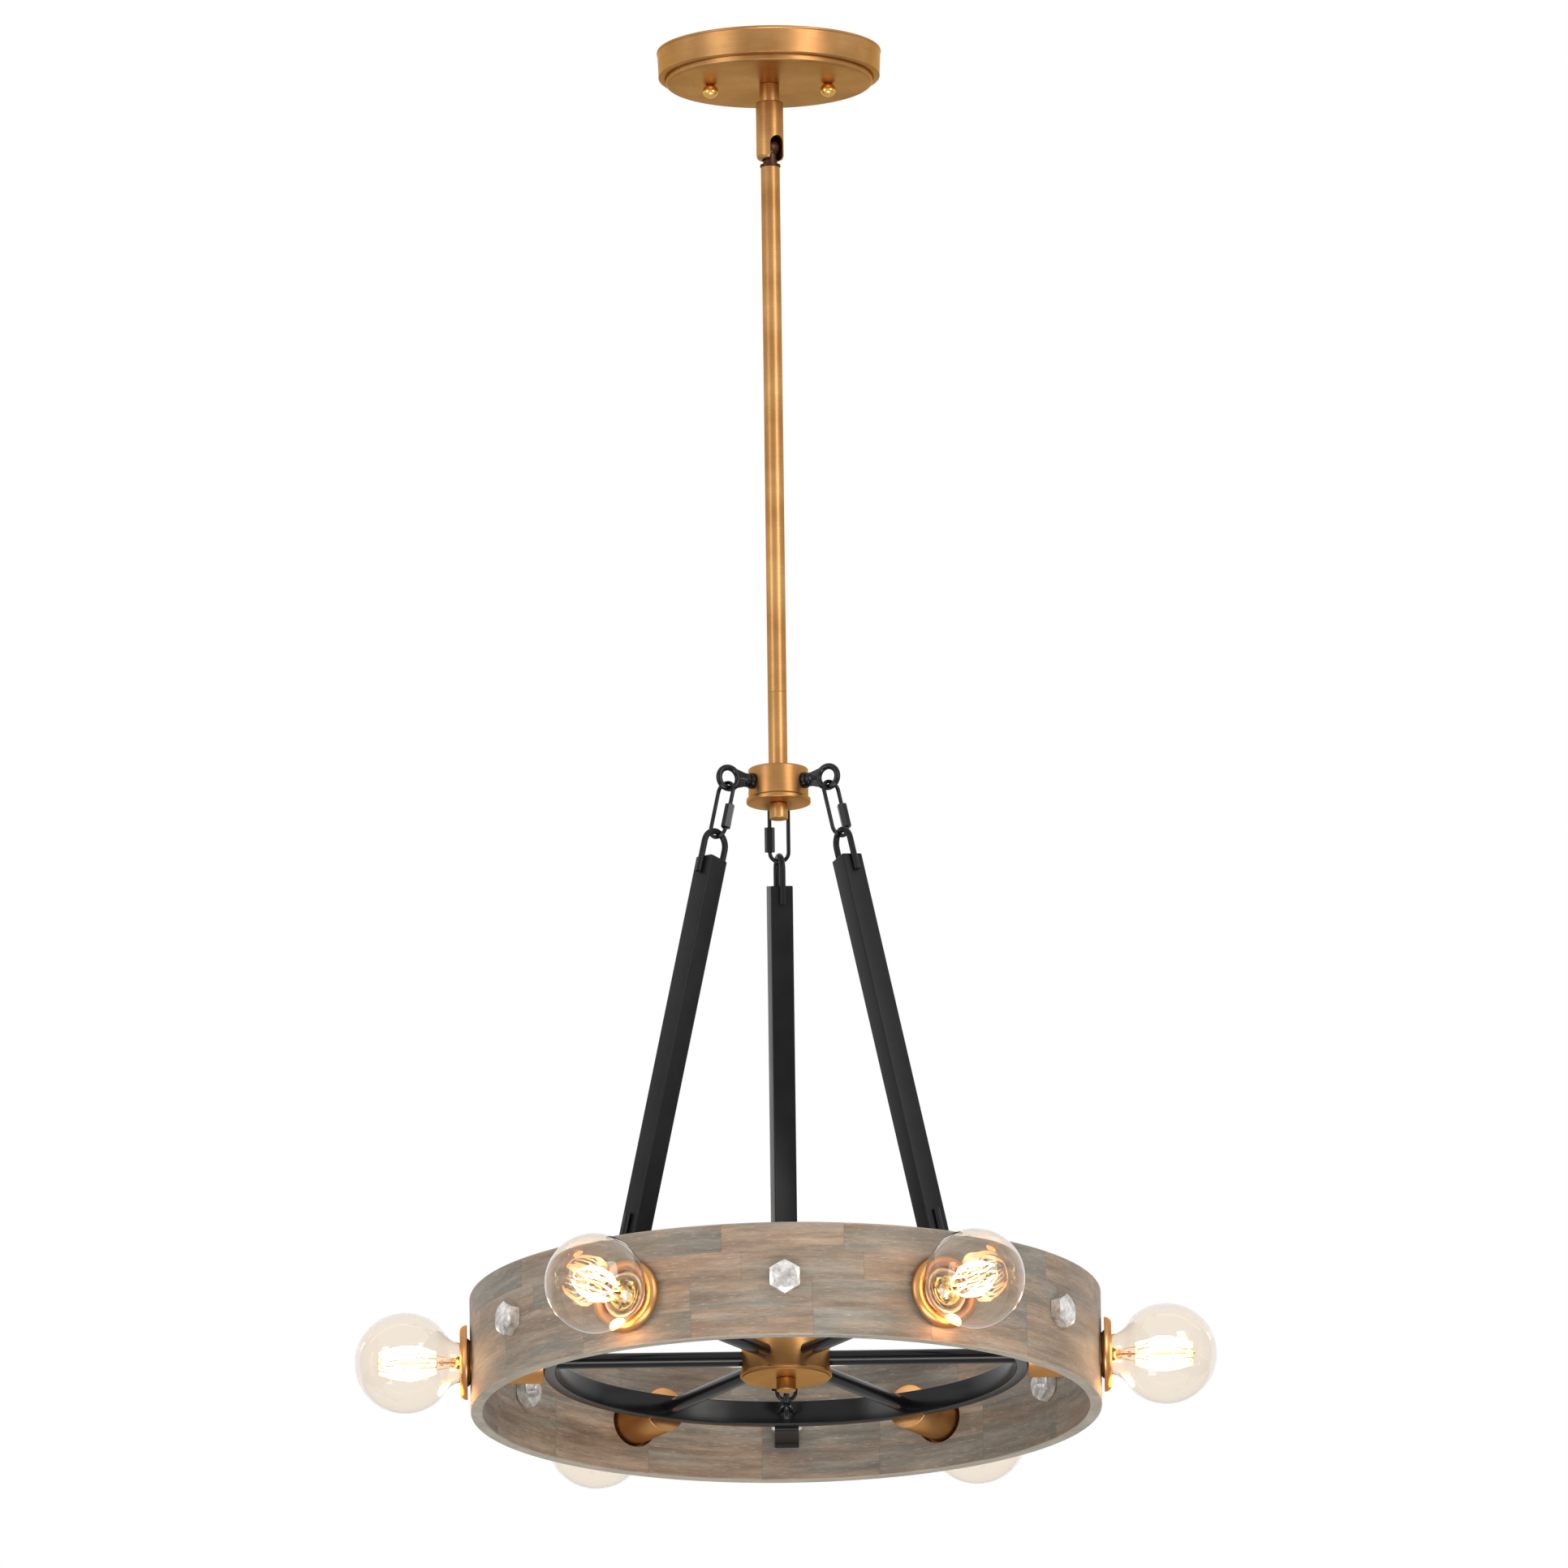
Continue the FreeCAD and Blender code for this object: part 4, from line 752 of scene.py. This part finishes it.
def dress_bar(side, place, top_at, low_at, top_loop, low_loop):
    """A square tube and the two U-shaped loops welded to its sides."""
    half_w = (BAR_WIDE + LOOP_WIRE) / 2 - WELD_SINK
    bm = bmesh.new()
    add_to(bm, place, square_bar, low_at, top_at)
    add_to(bm, place, sweep, loop_path(top_at - LOOP_GRIP_TOP, top_loop, half_w), LOOP_WIRE / 2)
    add_to(bm, place, sweep, loop_path(low_at + LOOP_GRIP_LOW, low_loop, half_w), LOOP_WIRE / 2)
    put(f"bar_{side}", bm, SATIN_BLACK, f"hanger_{side}", [f"hanger_bar_{side}"])


def dress_hangers():
    """Each hanger is set out down the line between its two eyes."""
    drop, spread = EYE_LEVEL - SPOKE_LEVEL, LOWER_EYE_R - UPPER_EYE_R
    length, lean = math.hypot(drop, spread), math.atan2(spread, drop)
    contact = (EYE_ACROSS - EYE_WIRE) / 2 - (EYE_WIRE + LINK_WIRE) / 2
    pitch = LINK_LONG - LINK_WIRE
    to_loop = pitch - (LINK_WIRE + LOOP_WIRE) / 2 - SEAT_GAP
    top_link, low_link = -(contact - SEAT_GAP), -length + contact - LOWER_SEAT_GAP
    top_loop, low_loop = top_link - to_loop, low_link + to_loop
    nut_at = Vector((0, (LINK_WIDE - LINK_WIRE) / 2, -(LINK_LONG - LINK_WIDE) / 2)) * MM
    for side, azimuth in UPRIGHTS.items():
        link_turn, bar_turn, low_turn = (Matrix.Rotation(math.radians(t), 4, "Z") for t in TURNS[side])
        a = math.radians(azimuth)
        at = Vector((UPPER_EYE_R * math.cos(a), UPPER_EYE_R * math.sin(a), EYE_LEVEL)) * MM
        place = Matrix.Translation(at) @ Matrix.Rotation(a, 4, "Z") @ Matrix.Rotation(-lean, 4, "Y")
        dress_bar(side, place @ bar_turn, top_loop - LOOP_REACH, low_loop + LOOP_REACH, top_loop, low_loop)
        links = bmesh.new()
        for end, height, turn in (("upper", top_link - pitch / 2, link_turn),
                                  ("lower", low_link + pitch / 2, low_turn)):
            middle = place @ upright(height) @ turn
            add_to(links, middle, sweep, link_path(), LINK_WIRE / 2)
            nut, section = bmesh.new(), hexagon(SLEEVE_FLATS, TAU / 12)
            add_to(nut, middle @ Matrix.Translation(nut_at), prism, section, SLEEVE_TALL, Matrix(), 0.5)
            put(f"sleeve_nut_{end}_{side}", nut, GLOSS_BLACK, f"sleeve_{end}_{side}",
                [f"link_sleeve_{end}_{side}"])
        put(f"links_{side}", links, GLOSS_BLACK, f"hanger_{side}", [f"quick_links_{side}"])


# ------------------------------------------------------------------ wheel

def dress_band():
    """The wooden band, drilled for six sockets and six bolts."""
    inner = BAND_R - BAND_WALL
    outline = [(inner, -BAND_HALF), (BAND_R, -BAND_HALF), (BAND_R, BAND_HALF), (inner, BAND_HALF)]
    band = lathe(bmesh.new(), eased(outline, 0.8, 3), upright(BAND_LEVEL), 216)
    holes = bmesh.new()
    for k in range(6):
        pair = ((60 * k, SOCKET_HOLE_R, SPOKE_LEVEL), (60 * k + 30, BOLT_R + BOLT_ROOM, BAND_LEVEL))
        for azimuth, radius, height in pair:
            add_to(holes, outward(azimuth, 0, height), rod, radius, inner - 8, BAND_R + 8, 64, 0)
    put("wood_band_drilled", carve(band, holes, "DIFFERENCE"), WOOD, "wheel", ["wood_band"])


def dress_ring_and_spokes():
    """The iron ring and the six round spokes that run from the hub into it."""
    inner = RING_R - RING_WALL
    outline = [(inner, -RING_HALF), (RING_R, -RING_HALF), (RING_R, RING_HALF), (inner, RING_HALF)]
    turned("ring_bar", outline, SPOKE_BLACK, "wheel", ["inner_ring"],
           upright(SPOKE_LEVEL), 192, 1.2)
    spokes = bmesh.new()
    for k in range(6):
        add_to(spokes, outward(60 * k, 0, SPOKE_LEVEL), rod, SPOKE_R, SPOKE_START, inner + WELD_SINK, 48)
    put("spoke_rods", spokes, SPOKE_BLACK, "wheel", ["spokes"])


def dress_brackets():
    """Bent straps from the ring's outside to the band's inside, with rounded bends."""
    foot, pad, thick = RING_R + TOUCH_GAP, BAND_R - BAND_WALL - 3.4, STRAP_THICK
    foot_top, shelf, pad_low, pad_top = 4.5, -14.5, -20.0, 14.0
    side = [(foot, foot_top), (foot, shelf - thick), (pad, shelf - thick), (pad, pad_low),
            (pad + thick, pad_low), (pad + thick, pad_top), (pad, pad_top), (pad, shelf),
            (foot + thick, shelf), (foot + thick, foot_top)]
    bm = bmesh.new()
    for azimuth in UPRIGHTS.values():
        across = Matrix.Rotation(math.pi / 2, 4, "X") @ upright(-STRAP_WIDE / 2)
        turn = Matrix.Rotation(math.radians(azimuth), 4, "Z")
        add_to(bm, upright(BAND_LEVEL) @ turn @ across, prism, eased(side, 2.6), STRAP_WIDE)
    put("bracket_straps", bm, SATIN_BLACK, "wheel", ["ring_brackets"])


def dress_bolts_and_nuts():
    """Six bolts through the band with turned-down heads, and the nuts inside."""
    heads, nuts, eye_nuts = bmesh.new(), bmesh.new(), bmesh.new()
    seat, band_in = BAND_R + TOUCH_GAP, BAND_R - BAND_WALL
    shank = [(0, BOLT_END), (BOLT_R - 0.8, BOLT_END), (BOLT_R, BOLT_END + 0.8), (BOLT_R, seat), (0, seat)]
    for k in range(6):
        azimuth = 30 + 60 * k
        head = hex_block(HEX_FLATS, HEX_TALL, HEAD_CROWN)
        head.transform(outward(azimuth, seat, BAND_LEVEL))
        merge(heads, head)
        lathe(heads, shank, outward(azimuth, 0, BAND_LEVEL), 32)
        nut = hex_block(HEX_FLATS, HEX_TALL, NUT_CROWN, True)
        nut.transform(outward(azimuth, band_in - HEX_NUT_GAPS[k % 2] - HEX_TALL, BAND_LEVEL))
        merge(nuts, nut)
    for azimuth in UPRIGHTS.values():
        nut = hex_block(EYE_NUT_FLATS, EYE_NUT_TALL, NUT_CROWN, True)
        nut.transform(outward(azimuth, RING_R + EYE_NUT_GAP, SPOKE_LEVEL))
        merge(eye_nuts, nut)
    put("hex_bolt_set", heads, PEWTER, "wheel", ["hex_bolts"], 20)
    put("hex_nut_set", nuts, PEWTER, "wheel", ["hex_nuts"], 20)
    put("eye_nut_set", eye_nuts, SATIN_BLACK, "wheel", ["lower_eye_nuts"], 20)


def dress_lower_hub():
    """The wheel's hub: a cup, its cover plate with a lip, and the end knob."""
    hub, base = high("lower_hub"), low("lower_hub")
    inside, roof = 31, hub.z - 4
    turned("lower_hub_cup", [(inside, base.z), (hub.x, base.z), (hub.x, hub.z), (TIE_BORE_R, hub.z),
                             (TIE_BORE_R, roof), (inside, roof)],
           BRASS, "wheel", ["lower_hub"], ease=1.2)
    cover, under = high("lower_hub_cover"), low("lower_hub_cover")
    lip_r, lip_z = cover.x - 1.6, under.z + 1.7
    turned("lower_hub_plate", [(TIE_BORE_R, under.z), (lip_r, under.z), (lip_r, lip_z),
                               (cover.x, lip_z), (cover.x, cover.z), (TIE_BORE_R, cover.z)],
           BRASS, "wheel", ["lower_hub_cover"], ease=0.5)
    dress_finial("lower_finial", TIE_BORE_R, "wheel")
    finish_node("hub_tie_bolt", ZINC)


def dress_wheel():
    """Everything that sways with the wheel."""
    dress_band()
    dress_ring_and_spokes()
    dress_brackets()
    dress_bolts_and_nuts()
    dress_lower_hub()
    dress_lamp_sockets()


def dress_lamp_sockets():
    """Spun cups with domed flanges, and the white holders whose lips show inside them."""
    start, swell = RING_R + TOUCH_GAP, FLANGE_R - FLANGE_MIDDLE
    angles = [math.pi * k / 14 for k in range(14)]
    dome = [(FLANGE_MIDDLE + swell * math.cos(a), FLANGE_BACK + FLANGE_TALL * math.sin(a)) for a in angles]
    cup = [(0, start), (17.5, start), (17.5, FLANGE_BACK - 2.5), (18.6, FLANGE_BACK)] + dome + [
        (19.0, FLANGE_BACK - 1.0), (16.3, FLANGE_BACK - 2.6), (16.3, start + 1.2), (0, start + 1.2)]
    holder = [(0, 193.6), (16.0, 193.6), (16.0, 250.6), (18.6, 253.4), (18.6, 255.0), (17.9, 255.6),
              (16.6, 255.6), (16.0, 254.6), (15.0, 251.6), (13.6, 249.6), (13.6, 225.0), (0, 225.0)]
    cups, holders = bmesh.new(), bmesh.new()
    for k in range(6):
        place = outward(60 * k, 0, SPOKE_LEVEL)
        lathe(cups, eased(cup, 0.6), place, 96)
        lathe(holders, eased(holder, 0.4), place, 64)
    put("spun_cups", cups, CUP_BRASS, "wheel", ["socket_cups"])
    put("white_holders", holders, WHITE, "wheel", ["lampholders"])


# ------------------------------------------------------------------ bulbs

def glass_outline():
    """Outside and inside of the envelope, as (radius, distance out)."""
    flare = math.radians(131)
    swell = [flare * (1 - k / 28) for k in range(28)]
    neck = [(12.9, 0.2), (14.0, 2.2), (15.1, 5.0), (16.3, 8.0), (17.4, 11.0), (19.4, 14.4), (22.6, 17.8),
            (26.3, 20.4)]
    outside = [(radius, GLASS_IN + out) for radius, out in neck]
    outside += [(GLOBE_R * math.sin(a), GLOBE_OUT + GLOBE_R * math.cos(a)) for a in swell]
    outside.append((0, GLOBE_OUT + GLOBE_R))
    inside = []
    for i, (radius, out) in enumerate(outside[:-1]):
        run = (Vector(outside[i + 1]) - Vector(outside[max(i - 1, 0)])).normalized()
        inside.append((radius - BULB_GLASS_WALL * run.y, out + BULB_GLASS_WALL * run.x))
    inside.append((0, GLOBE_OUT + GLOBE_R - BULB_GLASS_WALL))
    return outside + inside[::-1]


def cage_filament(bm):
    """A long wire strung up and down between two rings of hooks; it looks thicker where it glows most."""
    points, radii = [], []
    for k in range(CAGE_BARS):
        turn = TAU * k / CAGE_BARS
        ends = (CAGE_NEAR, CAGE_FAR) if k % 2 == 0 else (CAGE_FAR, CAGE_NEAR)
        for step in range(11):
            t = step / 10
            out = ends[0] + (ends[1] - ends[0]) * t
            rise = math.sin(math.pi * (out - CAGE_NEAR) / (CAGE_FAR - CAGE_NEAR))
            belly = CAGE_WAIST + CAGE_SWELL * rise + 0.5 * math.sin(9 * t + k)
            wobble = turn + 0.10 * math.sin(7 * t + 2.3 * k)
            points.append(Vector((belly * math.cos(wobble), belly * math.sin(wobble), out)))
            radii.append(0.40 + 0.85 * rise ** 3 * (0.6 + 0.4 * math.sin(2.1 * k)))
    sweep(bm, points, radii, sides=8)


def bulb_mount(bm):
    """The centre rod, the hooks' wires and the two lead wires."""
    sweep(bm, [Vector((0, 0, 262.0)), Vector((0, 0, 300.0)), Vector((0, 0, 324.0))], 0.7, sides=10)
    for k in range(4):
        turn = TAU * (k + 0.5) / 4
        out = Vector((math.cos(turn), math.sin(turn), 0))
        for height in (CAGE_NEAR, CAGE_FAR):
            sweep(bm, [Vector((0, 0, height - 1)), out * 5 + Vector((0, 0, height)),
                       out * 8.8 + Vector((0, 0, height + 0.6))], 0.22, sides=6)
    for x in (-4.0, 4.0):
        lead = [Vector((x * 0.8, 0, 257.0)), Vector((x, 0, 268.0)), Vector((x * 1.6, 0, 279.0))]
        sweep(bm, lead, 0.35, sides=8)


def dress_bulbs():
    """Each bulb's globe, screw base, mount dish, stem and wires, on the bulb's own body."""
    outline = glass_outline()
    wires = (("filament_supports", bulb_mount, SUPPORT), ("cage_filament", cage_filament, FILAMENT))
    thread_r, deep, pitch, foot, turns = 12.2, 0.75, 3.6, 229.5, 6
    thread = [(thread_r + deep * math.cos(TAU * k / 6), foot + pitch * k / 6) for k in range(6 * turns)]
    base = [(0, 225.4), (4.6, 225.4), (5.0, 227.5), (10.5, 229.0)] + thread + [(12.6, 251.3), (0, 251.3)]
    dish = [(0, 253.4), (11.6, 255.2), (12.2, 256.6), (11.4, 256.9), (8.0, 255.0), (0, 254.4)]
    flare = [(0, 254.8), (7.6, 256.0), (6.0, 258.5), (3.4, 263.0), (2.6, 270.0), (2.2, 273.0), (0, 275.0)]
    for k in range(1, 7):
        place, body = outward(60 * (k - 1), 0, SPOKE_LEVEL), f"bulb_{k}"
        turned(f"globe_glass_{k}", outline, GLASS, body, [f"bulb_glass_{k}"], place, 96, 0, 60)
        turned(f"screw_base_{k}", base, SHELL, body, [f"bulb_base_{k}"], place, 40, 0, 50)
        turned(f"mount_dish_{k}", dish, DISH, body, (), place, 40, 0.2)
        turned(f"glass_stem_{k}", flare, GLASS, body, (), place, 32, 0, 60)
        for name, build, material in wires:
            wire = bmesh.new()
            add_to(wire, place, build)
            put(f"{name}_{k}", wire, material, body)


# ------------------------------------------------------------------ studio

def area_light(name, at, wide, tall, power, tint):
    """A soft box that faces the middle of the part."""
    lamp = bpy.data.lights.new(name, "AREA")
    lamp.shape, lamp.size, lamp.size_y = "RECTANGLE", wide, tall
    lamp.energy, lamp.color = power, tint
    holder = add_object(name, lamp)
    holder.location = at
    holder.rotation_euler = (Vector((0, 0, -0.8)) - Vector(at)).to_track_quat("-Z", "Y").to_euler()


def build_world():
    """White for the camera, in shine and through glass, and plain soft grey light for the rest."""
    world = bpy.data.worlds.new("studio")
    bpy.context.scene.world = world
    shader = Shader(world, "ShaderNodeOutputWorld")
    seen = shader.node("LightPath", None, None, "Is Camera Ray")
    plain = seen.maths("MAXIMUM", seen.out("Is Glossy Ray")).maths("MAXIMUM", seen.out("Is Transmission Ray"))
    level = shader.mix(plain, colour(0.72, 0.72, 0.72), colour(1, 1, 1))
    back = shader.node("Background", None, {"Color": level, "Strength": 1.0})
    shader.tree.links.new(back.socket, shader.end.inputs["Surface"])


def warm_glow():
    """A small warm lamp beside each bulb's neck, for the light that its filament throws on the band."""
    for k in range(6):
        lamp = bpy.data.lights.new(f"bulb_glow_{k + 1}", "POINT")
        lamp.energy, lamp.color, lamp.shadow_soft_size = 0.05, (1.0, 0.42, 0.13), 0.008
        beside = Matrix.Translation(Vector((27.0, 0, 265.0)) * MM)
        add_object(lamp.name, lamp).matrix_world = outward(60 * k, 0, SPOKE_LEVEL) @ beside


def build_floor():
    size, level = 60.0, -8.0
    bm = bmesh.new()
    bm.faces.new([bm.verts.new((x * size, y * size, level)) for x, y in ((-1, -1), (1, -1), (1, 1), (-1, 1))])
    mesh = bpy.data.meshes.new("studio_floor")
    bm.to_mesh(mesh)
    bm.free()
    shader = new_shader("pale_floor")
    tone = shader.noise(shader.place(), 0.6, 2.0)
    mesh.materials.append(shader.surface(
        Base_Color=shader.ramp(tone, (0.3, (0.86, 0.86, 0.86)), (0.7, (0.9, 0.9, 0.9))), Roughness=0.8))
    add_object("studio_floor", mesh)


def build_studio():
    """A white background, a pale floor far below, soft boxes and the bulbs' warm glow."""
    build_world()
    build_floor()
    warm_glow()
    area_light("key_right", (2.6, -3.0, 0.4), 1.4, 2.6, 50, (1.0, 0.97, 0.93))
    area_light("fill_left", (-3.2, -2.6, -0.6), 1.2, 3.0, 34, (1.0, 0.97, 0.94))
    area_light("under_front", (0.2, -2.6, -3.4), 2.4, 1.2, 72, (1.0, 0.96, 0.9))


def build_camera():
    """A parallel view from below the horizon, turned a little about its own axis as the picture is."""
    frame_width, elevation, roll, distance = 1.2416, math.radians(-13.6), math.radians(0.75), 25.0
    target = Vector((0.0045, 0.0, -0.597))
    data = bpy.data.cameras.new("camera")
    data.type, data.ortho_scale = "ORTHO", frame_width
    data.clip_start, data.clip_end = 1.0, 200.0
    camera = add_object("camera", data)
    back = Vector((0, -math.cos(elevation), math.sin(elevation)))
    camera.location = target + back * distance
    aim = (-back).to_track_quat("-Z", "Y") @ Quaternion((0, 0, 1), -roll)
    camera.rotation_euler = aim.to_euler()
    bpy.context.scene.camera = camera


dress_ceiling_group()
dress_stem()
dress_eye_bolts()
dress_hangers()
dress_wheel()
dress_bulbs()
build_studio()
build_camera()
bpy.context.scene.view_settings.view_transform = "Standard"
